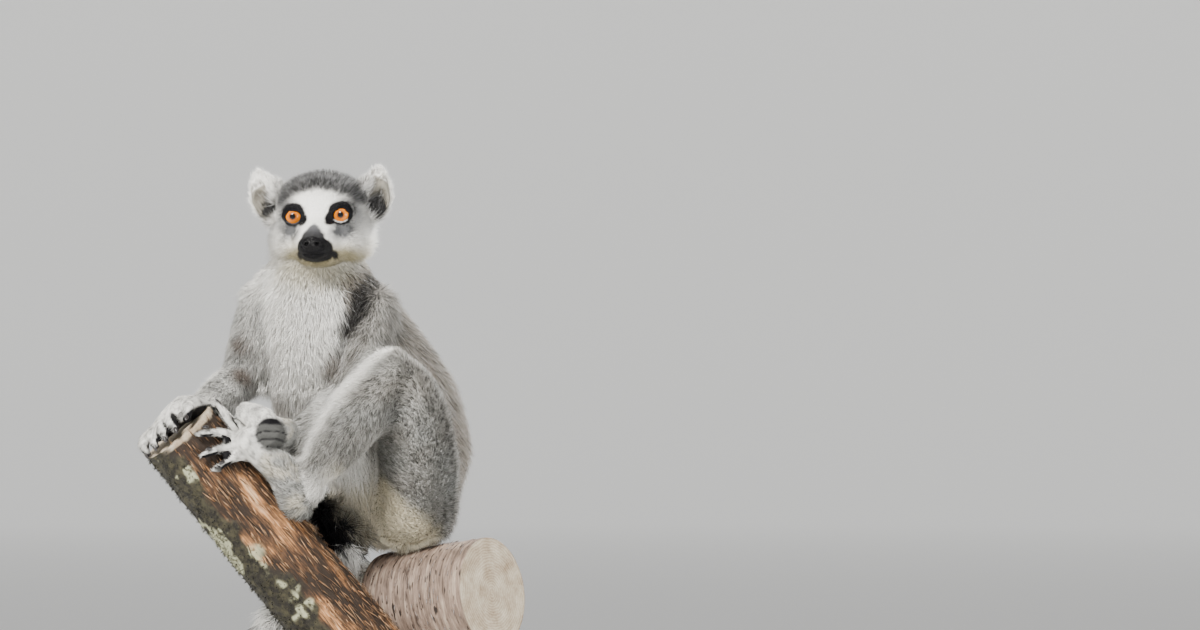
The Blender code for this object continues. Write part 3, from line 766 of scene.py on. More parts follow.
def trim_ear(places, side, weight):
    """An ear brought from an oval to its leaf shape, then hollowed to its opening and its rim turned in."""
    axes = ear_axes(side)
    middle = EAR_REACH * (side, 1, 1)
    across, back, long = ((places - middle) @ axes).T
    outward = side * across
    place = np.hypot((outward - 6) / 10.5, (long + 3) / 18)
    front_side = back < 4.5
    bowl = 5.6 * ease(1.0, 0.45, place)
    opening = np.hypot((outward + 1) / 8.0, (long + 13) / 8.5)
    bowl = bowl + 4.5 * ease(1.2, 0.3, opening)
    fold = 1.1 * hump(place, 0.86, 0.1)
    ribs = 0.45 * np.cos(long * 1.3) * ease(0.8, 0.4, place) * (outward > 4)
    pushed = back + np.where(front_side, bowl - fold + ribs, 0)
    oval = EAR_WIDE * np.sqrt(np.clip(1 - (long / EAR_LONG) ** 2, 0.02, 1))
    share = outward / oval
    low = np.where(long > 0, long * 0.92, long)
    wide = np.where(share > 0, np.interp(low, EAR_HEIGHTS, EAR_OUTER), np.interp(low, EAR_HEIGHTS, EAR_INNER))
    leaf = share * wide + EAR_TIP[side] * ease(0, 25, low)
    trimmed = np.stack((side * leaf, pushed, low), axis=1) @ axes.T + middle + EAR_MOVE[side]
    return places + (trimmed - places) * weight[:, None]


def ear_place(places, side):
    """Where a point lies in a trimmed ear: outwards, back and up, with the tip's lean taken out."""
    local = (places - EAR_REACH * (side, 1, 1) - EAR_MOVE[side]) @ ear_axes(side)
    outward = side * local[:, 0] - EAR_TIP[side] * ease(0, 25, local[:, 2])
    return outward, local[:, 1], local[:, 2]


body = run_together("skin_body", BODY_HIDE, voxel=3.6, smoothing=7)
points = points_of(body)
shares = nearness(points, BODY_HIDE)
depth = shares @ np.array([COAT_DEPTH[name] for name in BODY_HIDE])
hidden = shares[:, BODY_HIDE.index("head")] * 9 + shares[:, -len(PAWS):].sum(axis=1) * 4
slope = spot_share(points, (-76, -15, 557), (20, 60, 15), 0.5)
# The tail and the shin are fuller where they meet under the knee, so that no light shows between them.
fuller = 9 * spot_share(points, (-10, 16, 341), (14, 28, 13), 0.5)
fuller += 5 * spot_share(points, (-11, -86, 357), (12, 26, 10), 0.5)
set_in(body, depth + SWOLLEN + hidden + 5 * slope - fuller)

head = run_together("skin_head", FACE, voxel=1.65, smoothing=3)
mesh = bmesh.new()
mesh.from_mesh(head.data)
places = to_head(points_of(head))
# The hide is drawn finer round the eyes, and at the nose and lips.
across, back, up = np.abs(places[:, 0]), places[:, 1], places[:, 2]
near_eyes = (np.abs(across - EYE_APART / 2) < 15) & (np.abs(up) < 13)
near_nose = (across < 14) & (up < -15) & (up > -42)
fine = (near_eyes & (back < 14)) | (near_nose & (back < -8))
mesh.verts.ensure_lookup_table()
edges = [edge for edge in mesh.edges if fine[edge.verts[0].index] and fine[edge.verts[1].index]]
bmesh.ops.subdivide_edges(mesh, edges=edges, cuts=1, use_grid_fill=True, smooth=0.0)
mesh.to_mesh(head.data)
mesh.free()
places = to_head(points_of(head))
shares = nearness(points_of(head), FACE, reach=6.0)
ears = shares[:, 1] + shares[:, 2]
smooth_group = head.vertex_groups.new(name="fur_side")
for row, weight in enumerate(ease(0.6, 0.1, ears)):
    smooth_group.add((row,), float(weight), "REPLACE")
apply(head, "SMOOTH", factor=0.6, iterations=16, vertex_group="fur_side")
depth = shares @ np.array([COAT_DEPTH[name] for name in FACE])
depth = depth + shares[:, 0] * (face_depth(places) - COAT_DEPTH["head"])
front_of_ear = np.zeros(len(places), bool)
for side in (-1, 1):
    local = (places - EAR_REACH * (side, 1, 1)) @ ear_axes(side)
    front_of_ear |= (local[:, 1] < 2) & (np.abs(local[:, 0]) < EAR_WIDE) & (np.abs(local[:, 2]) < EAR_LONG)
depth = np.where((ears > 0.5) & front_of_ear, 0.6, depth)
set_in(head, depth + SWOLLEN)
places = shape_head(fill_out(to_head(points_of(head)), ease(0.5, 0.1, ears)))
for side, column in ((-1, 2), (1, 1)):
    places = trim_ear(places, side, ease(0.15, 0.65, shares[:, column]) * (places[:, 0] * side > 18))
move_points(head, from_head(places))

PALM_MIDDLE, PALM_REACH = (-50.5, -113.0, 411.5), (13.5, 13.0, 15.0)
# The height and half width of each crease that crosses the palm.
PALM_LINES = ((423.0, 1.6), (415.6, 0.7), (408.6, 1.1), (402.0, 0.6))


def palm_creases(points):
    """1 at the bottom of each of the creases that cross the palm's pad, and 0 on the rolls between them."""
    bow = points[:, 2] + 0.02 * (points[:, 0] - PALM_MIDDLE[0]) ** 2 + 0.6 * wander(points, 6, 41)
    return np.max([hump(bow, height, wide) for height, wide in PALM_LINES], axis=0)


paws = run_together("skin_paws", PAWS, voxel=1.4, smoothing=3)
points = points_of(paws)
on_palm = ease(1.15, 0.8, lengths((points - PALM_MIDDLE) / PALM_REACH))
depth = COAT_DEPTH["hand_left"] + SWOLLEN + on_palm * (1.6 * palm_creases(points) - 0.3)
set_in(paws, depth, steps=2, smoothing=0)


# ------------------------------------------------------------
# The hide's markings, dyed to match the coat: white face, throat and belly, grey cap, back and limbs, black
# round the eyes and on the muzzle, cream under the thighs, and dark leather on the nose, palms and lids.
# ------------------------------------------------------------

def paint(red, green, blue):
    """A colour mixed on the usual 0 to 255 scale."""
    share = np.array((red, green, blue)) / 255
    return np.where(share > 0.04, ((share + 0.055) / 1.055) ** 2.4, share / 12.92)


WHITE = paint(243, 241, 235)
CREAM = paint(226, 215, 188)
# A beige painted shade, for the chin, the jowls and under the jaw.
CHIN_SHADE = paint(168, 157, 120)
LEG_GREY = paint(160, 160, 155)
BACK_GREY = paint(160, 153, 143)
BROWN_GREY = paint(142, 126, 113)
CAP_GREY = paint(80, 79, 78)
DARK_GREY = paint(66, 63, 62)
SMUDGE = paint(112, 114, 118)
BLACK_FUR = paint(13, 12, 14)
LEATHER = paint(52, 50, 52)
PALM_GREY = paint(68, 68, 66)
EAR_INSIDE = paint(126, 122, 112)
WEDGE_GREY = paint(86, 86, 89)
WEDGE_DARK = paint(30, 30, 33)
# Height, middle across and along, and turn of the trunk and neck, as the solids have them.
SPINE = np.array((
    (318, 58, 32, 55), (362, 54, 34, 55), (396, 48, 34, 50), (430, 28, 32, 47), (460, 21, 25, 43),
    (490, 9, 15, 34), (516, -2, 7, 28), (540, -9, 1, 25), (576, -16, -8, 8), (600, -14, -12, 6)))
# The middle of the tail from its root to its tip, and how long its rings are and where they start.
TAIL_LINE = np.array((
    (80, 64, 336), (74, 92, 308), (50, 98, 286), (20, 84, 284), (-4, 60, 302), (-10, 34, 324), (-6, 10, 332),
    (4, -4, 318), (6, -2, 300), (0, 9, 280), (-18, 20, 268), (-42, 26, 258), (-59, 26, 236), (-69, 22, 204),
    (-72, 16, 168), (-68, 11, 132), (-53, 10, 98), (-27, 14, 76), (5, 19, 70)), float)
RING_LENGTH = 22.5
RING_START = 17.0
# Painted shade on the bare skin between the fingers that fold over the sawn end: place across and up, turn,
# length and width.
BARE_SHADE_BETWEEN = (
    (-116.0, 429.8, 32, 13.5, 5.0), (-132.5, 424.5, -55, 8.0, 2.7), (-139.5, 418.0, -52, 7.0, 2.0),
    (-146.0, 409.5, 65, 5.5, 2.6), (-137.0, 413.5, 35, 4.5, 2.6), (-127.0, 420.0, 35, 5.0, 3.0))


def triangles_of(piece):
    piece.data.calc_loop_triangles()
    return triples(piece.data.loop_triangles, "vertices", np.int32)


def over(under, colour, share):
    """A colour laid over another, or over many, by its share in each point."""
    return under + (colour - under) * share[:, None]


def share_of(part, names):
    return sum(part[name] for name in names)


def along_tail(points):
    """How far along the tail each point lies, and which way the tail runs there."""
    fineness, smoothing, batch = 240, 12, 4000
    steps = np.linspace(0, len(TAIL_LINE) - 1, fineness)
    line = np.stack([np.interp(steps, np.arange(len(TAIL_LINE)), TAIL_LINE[:, i]) for i in range(3)], axis=1)
    for _ in range(smoothing):
        line[1:-1] = (line[:-2] + line[2:]) / 2
    ways = unit(np.gradient(line, axis=0))
    far = np.concatenate(((0,), np.cumsum(lengths(np.diff(line, axis=0)))))
    nearest = np.empty(len(points), int)
    for start in range(0, len(points), batch):
        part = points[start:start + batch]
        nearest[start:start + batch] = ((part[:, None] - line[None]) ** 2).sum(axis=2).argmin(axis=1)
    return far[nearest], ways[nearest]


def cap_edge(across, back):
    """The height that the grey cap comes down to: above the brow, round the ears and down the nape."""
    return 22.5 - 0.0125 * across**2 - 0.8 * np.maximum(back - 34, 0) - 2.4 * np.maximum(back - 52, 0)


def head_markings(points):
    """The colours of the face, cap and throat."""
    places = to_head(points)
    across, back, up = places.T
    fray = wander(points, 3.2, 31)
    fine_fray = wander(points, 1.4, 32)
    cap_line = cap_edge(across, back)
    # The lower face made creamier by a painted shade, the grey cap, and a smudge at each temple.
    colours = over(WHITE, CREAM, 0.35 * ease(-14, -38, up))
    colours = over(colours, CAP_GREY, ease(-1.8, 1.8, up - cap_line + 1.6 * fray + 1.2 * fine_fray))
    temple = spot_share(places, (34, 10, 5), (7, 14, 13), 0.5)
    temple = temple + spot_share(places, (-34, 10, 6), (7, 14, 11), 0.5)
    colours = over(colours, SMUDGE, 0.55 * np.clip(temple + 0.3 * fray * temple, 0, 1))
    front = ease(40, 25, back)
    flat = places * (1, 0, 1)
    # Black round each eye, smudged below it and beyond its outer corner, with a painted reflection on the wet
    # edge of the lower lid, strong on the left eye and faint on the right.
    for side in (-1, 1):
        below = spot_share(flat, (side * 22.5, 0, -12.0), (7.4, 1, 8.2), 0.85)
        colours = over(colours, SMUDGE * 0.3, np.clip(1.3 * front * below * (0.95 + 0.4 * fray), 0, 0.95))
        beyond = spot_share(flat, (side * 25.5, 0, 10.5), (7.5, 1, 4.5), 0.6)
        colours = over(colours, DARK_GREY, 0.55 * front * beyond)
        ring = np.hypot((across - side * 20.6) / 10.9, (up - 1.6) / 10.6) + 0.05 * fray + 0.05 * fine_fray
        inner = np.hypot((across - side * 12.8) / 5.4, (up + 2.8) / 6.0) + 0.08 * fray
        black = np.maximum(ease(1.12, 0.90, ring), ease(1.2, 0.8, inner))
        colours = over(colours, BLACK_FUR, black * front)
        lid = lid_place(across, up, side)
        # A painted reflection along the wet lower lid.
        rim = ease(0.98, 1.02, lid) * ease(1.16, 1.10, lid) * ease(-3.0, -5.0, up)
        colours = over(colours, WHITE, 0.9 * rim * (0.15 + 0.85 * (side > 0)) * front)
    # The dark wedge down the nose, painted shade over the chin and jowls, and the black muzzle.
    wedge = np.interp(up, (-26, -17, -13, -9, -7.5), (11.5, 10.0, 6.8, 3.4, 1.4))
    bridge = ease(1.8, -1.8, np.abs(across) - wedge + 0.6 * fray) * ease(-5, -9, up) * ease(2, -4, back)
    colours = over(colours, over(WEDGE_GREY, WEDGE_DARK, ease(-8, -18, up)), 0.98 * bridge)
    # Painted shade over the chin and the jowls.
    chin_shade = spot_share(flat, (6, 0, -46), (46, 1, 17), 0.5)
    jowl_shade = spot_share(flat, (-20, 0, -34), (8, 1, 12), 0.6)
    jowl_shade = jowl_shade + 0.6 * spot_share(flat, (24, 0, -36), (10, 1, 9), 0.6)
    colours = over(colours, CHIN_SHADE, 0.92 * front * np.clip(chin_shade + 0.5 * jowl_shade, 0, 1))
    square = 2.6
    muzzle = (np.abs(across) / 15.4) ** square + (np.abs(up + 29.4) / 10.8) ** square
    muzzle = muzzle ** (1 / square) + 0.03 * fray
    black = ease(1.05, 0.95, muzzle) * ease(4, -3, back)
    for side in (-1, 1):
        corner = spot_share(flat, (side * 15.0, 0, -34.0), (2.7, 1, 3.8), 0.3)
        black = np.maximum(black, corner * ease(10, 4, back))
    ridge = ease(2.5, -1.5, np.abs(across) - wedge) * ease(-22, -18, up)
    colours = over(colours, BLACK_FUR, black * (1 - ridge))
    return colours


def ear_markings(points, normals, side):
    """The colours of an ear: grey in its hollow with painted shade deeper in, a painted black shadow at its
    opening, and where it is bare.
    """
    outward, back, up = ear_place(to_head(points), side)
    facing = (normals @ HEAD_AXES @ ear_axes(side))[:, 1]
    edge = np.maximum(np.interp(up, EAR_HEIGHTS, EAR_OUTER), 1.0)
    inner_edge, top = (-2.0, 13.0) if side < 0 else (-4.5, 18.0)
    inside = ease(0.90, 0.78, outward / edge) * ease(inner_edge - 2, inner_edge + 1, outward + 0.10 * up)
    inside = inside * ease(top + 2, top - 3, up) * ease(-23, -19, up)
    inside = np.clip(1.7 * inside * ease(0.45, 0.0, facing) * (back < 9), 0, 1)
    # Painted shade deeper in the hollow.
    deep_shade = over(EAR_INSIDE, DARK_GREY, 0.5 * ease(6, -6, outward) * ease(10, -6, up))
    colours = over(WHITE, deep_shade, inside)
    # A painted black shadow in the ear's opening.
    middle, reach = ((4.5, -10.0), (7.5, 7.0)) if side < 0 else ((5.0, -10.0), (13.0, 11.0))
    opening = np.hypot((outward - middle[0]) / reach[0], (up - middle[1]) / reach[1])
    black = np.clip(1.4 * inside * ease(1.12, 0.85, opening + 0.12 * wander(points, 4, 35)), 0, 1)
    return over(colours, BLACK_FUR * 0.5, black), inside


def log_place_of(share, turn, lift):
    """A point over the slanting log, from a share of its length, degrees round it and its height over it."""
    length, axis, up, front = log_frame(*PERCH)
    angle = math.radians(turn - 90)
    reach = PERCH_RADII[0] + (PERCH_RADII[1] - PERCH_RADII[0]) * share + lift
    return PERCH_TOP + axis * length * share + (up * math.cos(angle) + front * math.sin(angle)) * reach


# The last two joints of each digit: toes and fingers on the log, then those that fold over its sawn end.
DIGITS = (
    ((0.072, 131), (0.025, 160)), ((0.11, 143), (0.081, 174)), ((0.15, 146), (0.139, 172)),
    ((0.04, 98), (0.01, 95)), ((0.18, 66), (0.16, 54)), ((0.11, 42), (0.08, 34)), ((0.14, 24), (0.11, 14)),
    ((0.19, 10), (0.17, 0)), ((0.06, 76), (0.03, 68)), ((0.05, 96), (0.01, 98)), ((0.08, 60), (0.06, 50)))
DIGIT_LIFT = 3.5
digit_ends = [(log_place_of(*tip, DIGIT_LIFT), log_place_of(*before, DIGIT_LIFT)) for before, tip in DIGITS]
out_of_cut = -log_frame(*PERCH)[1]
down_cut = np.array((-out_of_cut[2], 0, out_of_cut[0]))
down_cut /= np.linalg.norm(down_cut)
# How far down the sawn face each finger's tip lies, and how far towards the front.
FINGERS_OVER_CUT = ((31, 14), (21, 24), (10, 30), (-2, 33))
for fall, near in FINGERS_OVER_CUT:
    bend = PERCH_TOP + down_cut * fall + np.array((0, -near * 0.85, 0)) + out_of_cut * 9
    digit_ends.append((PERCH_TOP + down_cut * (fall + 1) + np.array((0, -near, 0)) + out_of_cut * 2, bend))
digit_ends.append((PERCH_TOP + down_cut * -14 + np.array((0, -32, 0)) + out_of_cut * 4,
                   PERCH_TOP + down_cut * -20 + np.array((0, -22, 0)) + out_of_cut * 10))


def shade_between_digits(points, normals):
    """Painted shade: 1 where the hide of a paw faces another part of it or the log within a few millimetres.
    """
    flesh, corners, count = [], [], 0
    for name in PAWS + ("perch_log",):
        data = frame["nodes"][name].data
        data.calc_loop_triangles()
        flesh += [vertex.co / MM for vertex in data.vertices]
        corners += [tuple(i + count for i in triangle.vertices) for triangle in data.loop_triangles]
        count = len(flesh)
    solid = BVHTree.FromPolygons(flesh, corners)
    dark = np.zeros(len(points))
    low, high = np.array((-165, -140, 330)), np.array((0, 40, 470))
    clear, facing = 2.2, 6.0
    for row in np.flatnonzero(((points > low) & (points < high)).all(axis=1)):
        way = Vector(normals[row])
        found = solid.ray_cast(Vector(points[row]) + way * clear, way, facing)
        if found[0] is not None:
            dark[row] = 1 - (found[3] / facing) ** 2
    return ease(0.05, 0.6, dark)


def markings(points, normals, shares):
    """The colour of every point of the hide, how bare it is, and how much its hairs are ticked."""
    part = {name: shares[:, i] for i, name in enumerate(FLESH)}
    height = points[:, 2]
    # The bearing of each point round the spine, from 0 in front and growing towards the lemur's own left.
    middle_x, middle_y, turned = (np.interp(height, SPINE[:, 0], SPINE[:, i]) for i in (1, 2, 3))
    turned = np.radians(turned)
    apart_x, apart_y = points[:, 0] - middle_x, points[:, 1] - middle_y
    ahead = -apart_x * np.sin(turned) - apart_y * np.cos(turned)
    aside = apart_x * np.cos(turned) - apart_y * np.sin(turned)
    bearing = np.degrees(np.arctan2(aside, ahead))
    fray = wander(points, 12, 21) + 0.6 * wander(points, 4, 22)
    # The white front, which widens at the throat, against the grey and brown of the back.
    throat = ease(546, 566, height)
    front = ease(46 + 36 * throat, 34 + 34 * throat, bearing + 7 * fray) * ease(-96, -78, bearing + 7 * fray)

    colours = over(BACK_GREY, BROWN_GREY, 0.45 * ease(0.1, 0.9, wander(points, 30, 23)))
    trunk_ticked = 0.55 * (1 - front)
    colours = over(colours, WHITE, front)
    # The painted shadow in the hollow over the left shoulder, painted shade under the chin and in the folds
    # beside the arms, and cream low down.
    # A painted shadow in the hollow between the neck and the left shoulder.
    slant = np.hypot((points[:, 0] - 22 - 0.28 * (height - 528)) / 13.0, (height - 528) / 34)
    shoulder_shade = ease(1.35, 0.65, slant + 0.12 * fray) * ease(14, -8, points[:, 1])
    colours = over(colours, DARK_GREY * 0.3, 0.95 * shoulder_shade)
    trunk_ticked = trunk_ticked * (1 - 0.7 * shoulder_shade)
    # Painted shade under the jaw.
    colours = over(colours, CHIN_SHADE, 0.45 * spot_share(points, (-17, -52, 552), (27, 40, 13), 0.6))
    # Painted shade in the folds of the coat beside the arms.
    fold = spot_share(points, (2, -60, 474), (11, 40, 14), 0.5)
    fold = np.clip(fold + spot_share(points, (-54, -45, 440), (14, 40, 16), 0.5), 0, 1)
    colours = over(colours, BROWN_GREY * 0.55, 0.85 * fold)
    cream_line = height + 0.9 * np.maximum(points[:, 0] - 30, 0) + 6 * fray
    colours = over(colours, CREAM, 0.8 * ease(380, 360, cream_line))

    # The legs: grey, with white along their inner side, which faces up and is partly their own white and
    # partly a painted highlight, white near the foot, cream underneath, and painted shade in the lap.
    legs = over(LEG_GREY, BACK_GREY, 0.3 + 0.3 * wander(points, 22, 24))
    # The inner side faces up as well, so its white is partly the leg's own and partly a painted highlight.
    inner = normals @ np.array((-0.72, 0.05, 0.69))
    legs = over(legs, WHITE, 0.95 * ease(0.46, 0.78, inner + 0.12 * fray))
    under = ease(392, 370, cream_line) * ease(98, 82, points[:, 0] + 6 * fray) * ease(70, 45, points[:, 1])
    legs = over(legs, CREAM, 0.9 * under * ease(-14, 4, points[:, 0] + 5 * fray))
    near_foot = ease(395, 368, height) * ease(20, 0, points[:, 0])
    legs = over(legs, WHITE, 0.8 * near_foot)
    # Painted shade in the lap.
    lap_shade = spot_share(points, (-6, -5, 352), (17, 50, 17), 0.4)
    legs = over(legs, BROWN_GREY * 0.35, 0.9 * lap_shade)
    leg_share = share_of(part, LEGS)

    # The arms: the right one paler than the left, with two bands of painted shade across its bend, and the
    # left shoulder's painted shadow and the folds' painted shade.
    arms = over(LEG_GREY, WHITE, 0.45 + 0.3 * wander(points, 15, 25))
    left_arm = part["upper_arm_left"] + part["forearm_left"]
    arms = over(arms, LEG_GREY, left_arm)
    arms = over(over(arms, DARK_GREY * 0.3, 0.95 * shoulder_shade), BROWN_GREY * 0.55, 0.85 * fold * left_arm)
    # Two bands of painted shade across the bend of the right arm.
    for middle in ((-79, -20, 493), (-79, -25, 463)):
        arms = over(arms, BROWN_GREY * 0.7, 0.85 * spot_share(points, middle, (9, 60, 8), 0.5))
    arm_share = left_arm + part["upper_arm_right"] + part["forearm_right"]

    # The tail: grey at its root, ringed black and white, and black where it is tucked under the body.
    far, _ = along_tail(points)
    ring = np.sin((far - RING_START) / RING_LENGTH * math.pi)
    tail = over(WHITE * 0.92, BLACK_FUR, ease(-0.34, -0.10, ring + 0.1 * fray))
    tail = over(tail, LEG_GREY, ease(30, 18, far))
    tail = over(tail, BLACK_FUR, spot_share(points, (-14, 8, 350), (24, 45, 18), 0.4))

    # The paws: mottled white, with grey fur at ankle and wrist, bare dark skin inside, and painted shade in
    # the palm's creases and between the digits, where the skin is bare too.
    paw = over(WHITE * 0.97, LEG_GREY, 0.3 + 0.4 * wander(points, 9, 26))
    paw = over(paw, DARK_GREY * 0.7, 0.6 * ease(0.0, 0.6, wander(points * (1, 1, 0.5), 2.0, 42)))
    ankle = ease(-66, -46, points[:, 0] + 5 * fray) * part["foot_left"]
    near_hand = ease(0.1, 0.45, part["hand_left"])
    ankle = np.clip(ankle + ease(-43.5, -39.5, points[:, 0]) * near_hand, 0, 1)
    paw = over(paw, over(LEG_GREY * 0.8, CREAM, 0.4 * ease(-0.2, 0.6, fray)), 0.95 * ankle)
    flat_reach = ((points - PALM_MIDDLE) / PALM_REACH)[:, [0, 2]]
    palm = ease(1.12, 0.86, lengths(flat_reach) + 0.07 * fray) * ease(-80, -90, points[:, 1]) * near_hand
    # Painted shade in the top crease of the palm, and between the fingers over the sawn end.
    crease_shade = spot_share(points, (-50.5, -110, 423.6), (8.5, 16, 2.6), 0.35) * near_hand
    over_cut = (points[:, 1] < 0) * ease(0.1, 0.45, part["hand_right"])
    for across, up, turn, long, wide in BARE_SHADE_BETWEEN:
        cosine, sine = math.cos(math.radians(turn)), math.sin(math.radians(turn))
        right, rise = points[:, 0] - across, height - up
        away = np.hypot((right * cosine + rise * sine) / long, (rise * cosine - right * sine) / wide)
        crease_shade = np.maximum(crease_shade, ease(1.2, 0.8, away) * over_cut)
    inward = ease(0.25, 0.7, normals @ np.array((-0.1, 0.55, -0.83)))
    tips = np.zeros(len(points))
    for tip, _ in digit_ends:
        tips = np.maximum(tips, ease(11.5, 7.0, lengths(points - tip) + 2.5 * fray))
    tips = tips * ease(0.75, 0.2, normals @ np.array((-0.2, -0.55, 0.8)))
    # Painted shade where a paw's hide faces another digit or the log close by.
    gap_shade = shade_between_digits(points, normals)
    bare_paw = np.clip(np.max((palm, inward, crease_shade, tips, gap_shade), axis=0), 0, 1)
    paw = over(paw, PALM_GREY, np.maximum(inward, palm))
    paw = over(paw, BLACK_FUR, np.max((crease_shade, tips, gap_shade), axis=0))
    # Painted shade down the palm's creases.
    paw = over(paw, BLACK_FUR, 0.85 * palm * ease(0.3, 0.8, palm_creases(points)))
    paw_share = share_of(part, PAWS)

    shown = ((legs, leg_share), (arms, arm_share), (tail, share_of(part, TAIL)), (paw, paw_share),
             (head_markings(points), part["head"]))
    rest = np.clip(1 - sum(amount for _, amount in shown) - part["ear_left"] - part["ear_right"], 0, 1)
    total = colours * rest[:, None]
    for kind, amount in shown:
        total = total + kind * amount[:, None]
    bare = bare_paw * paw_share
    places = to_head(points)
    for side, name in EARS:
        ear, inside = ear_markings(points, normals, side)
        total = total + ear * part[name][:, None]
        bare = np.maximum(bare, inside * part[name])
        lid = lid_place(places[:, 0], places[:, 2], side)
        bare = np.maximum(bare, ease(1.42, 1.3, lid) * (places[:, 1] < 14) * part["head"])
    pad = np.hypot(places[:, 0] / 9.2, (places[:, 2] + 24.6) / 6.4)
    wet = ease(1.05, 0.92, pad) * ease(-20, -25, places[:, 1]) * part["head"]
    total = over(total, LEATHER * 0.13, wet)
    lips = ease(2.2, 1.2, np.abs(places[:, 2] - lip_line(places[:, 0]))) * ease(-4, -10, places[:, 1])
    bare = np.maximum(np.maximum(bare, wet), lips * part["head"] * ease(17, 15, np.abs(places[:, 0])))
    cap = ease(-1.6, 1.6, places[:, 2] - cap_edge(places[:, 0], places[:, 1]))
    leg_ticked = leg_share * (0.95 - 0.85 * ease(0.30, 0.62, inner) - 0.75 * under)
    ticked = rest * trunk_ticked + leg_ticked + arm_share * 0.75 + part["head"] * cap + 0.9 * ankle
    return total, np.clip(bare, 0, 1), wet, np.clip(ticked, 0, 1)


gathered = []
start = 0
for hide, names in ((body, BODY_HIDE), (head, FACE), (paws, PAWS)):
    points = points_of(hide)
    found = nearness(points + normals_of(hide) * 2, names, 18.0)
    shares = np.zeros((len(points), len(FLESH)))
    for column, name in enumerate(names):
        shares[:, FLESH.index(name)] = found[:, column]
    # Under the head and the paws no coat grows from the body's own hide.
    grow_share = np.ones(len(points))
    if hide == body:
        grow_share = 1 - sum(shares[:, FLESH.index(name)] for name in ("head",) + PAWS)
    growing = ease(0.35, 0.65, grow_share)
    gathered.append((points, normals_of(hide), shares, triangles_of(hide) + start, growing))
    start += len(points)
    bpy.data.objects.remove(hide, do_unlink=True)
hide_points, hide_normals, hide_shares, hide_triangles, hide_grow = (
    np.concatenate(parts) for parts in zip(*gathered))
hide_colour, hide_bare, hide_wet, hide_ticked = markings(hide_points, hide_normals, hide_shares)

hide_look, tree, shader = new_material("hide", 0.62, specular=0.10)
pores = noise(tree, stretched(tree, (1, 1, 1)), 900, 5, 0.6)
creases = noise(tree, stretched(tree, (1, 1, 0.35)), 420, 3, 0.5)
colour_from(tree, shader, "hide_colour", 900, 0.3)
gloss = math_node(tree, "MULTIPLY_ADD", read_value(tree, "wet"), -0.44, 0.66)
tree.links.new(gloss, shader.inputs["Roughness"])
bump(tree, shader, math_node(tree, "ADD", pores, creases), 0.0005)
skin = mesh_piece("skin", hide_points, hide_triangles.ravel(), np.full(len(hide_triangles), 3), hide_look)
under_coat = hide_colour * (0.86 + 0.14 * hide_bare[:, None])
set_values(skin, "hide_colour", np.column_stack((under_coat, np.ones(start))))
set_values(skin, "wet", hide_wet)
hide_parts(*FLESH)
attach(skin, "root")


# ------------------------------------------------------------
# The eyes: blown glass, a black pupil in an amber iris with darker threads and a dark outer ring, under a
# clear domed front. They are set into the sockets so that the lids lie on them.
# ------------------------------------------------------------

# The iris from its middle outwards: the pupil, a dark ring, amber, an orange rim and the eye's dark edge,
# each at its share of the angle from straight ahead, in degrees.
IRIS_RINGS = ((0.20, (0.002, 0.002, 0.002, 1)), (0.235, (0.12, 0.030, 0.002, 1)),
              (0.34, (0.42, 0.105, 0.002, 1)), (0.62, (0.60, 0.175, 0.003, 1)),
              (0.74, (0.26, 0.06, 0.003, 1)), (0.80, (0.010, 0.006, 0.004, 1)))
GAZE_REACH = 65
amber, tree, shader = new_material("amber_glass", 0.25)
shader.inputs["Coat Weight"].default_value = 1.0
shader.inputs["Coat Roughness"].default_value = 0.02
shader.inputs["Coat IOR"].default_value = 1.29
shader.inputs["Specular IOR Level"].default_value = 0.1
threads = noise(tree, read_value(tree, "threads", "Vector"), 1, 4, 0.6)
threads = math_node(tree, "SUBTRACT", threads, 0.5)
uneven = math_node(tree, "MULTIPLY_ADD", threads, 0.12, read_value(tree, "gaze"))
tree.links.new(ramp(tree, uneven, IRIS_RINGS), shader.inputs["Base Color"])
for side, name in ((-1, "right"), (1, "left")):
    bpy.ops.object.select_all(action="DESELECT")
    bpy.ops.mesh.primitive_uv_sphere_add(segments=48, ring_count=40, radius=1)
    eye = bpy.context.object
    eye.name = "glass_eye_" + name
    points = points_of(eye) * MM
    angle = np.degrees(np.arccos(np.clip(points[:, 2], -1, 1)))
    dome = EYE_RADIUS + 0.45 * ease(40, 12, angle) - 0.12
    around = np.arctan2(points[:, 1], points[:, 0])
    looking = np.stack((points[:, 0], -points[:, 2], points[:, 1]), axis=1)
    middle = np.array((side * EYE_APART / 2, EYE_RADIUS + 0.35, 0))
    move_points(eye, from_head(looking * dome[:, None] + middle))
    set_values(eye, "gaze", angle / GAZE_REACH)
    set_values(eye, "threads", np.stack((np.cos(around) * 9, np.sin(around) * 9, angle / 40), axis=1))
    eye.data.shade_smooth()
    eye.data.materials.append(amber)
    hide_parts("eye_" + name)
    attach(eye, "root")


# ------------------------------------------------------------
# The coat: hair tied in small tufts and set into the hide all over, each leaving it at a slant and lying
# down towards the tail. It is longest on the cheeks, chest, back and tail, and shortest on face and hands.
# ------------------------------------------------------------

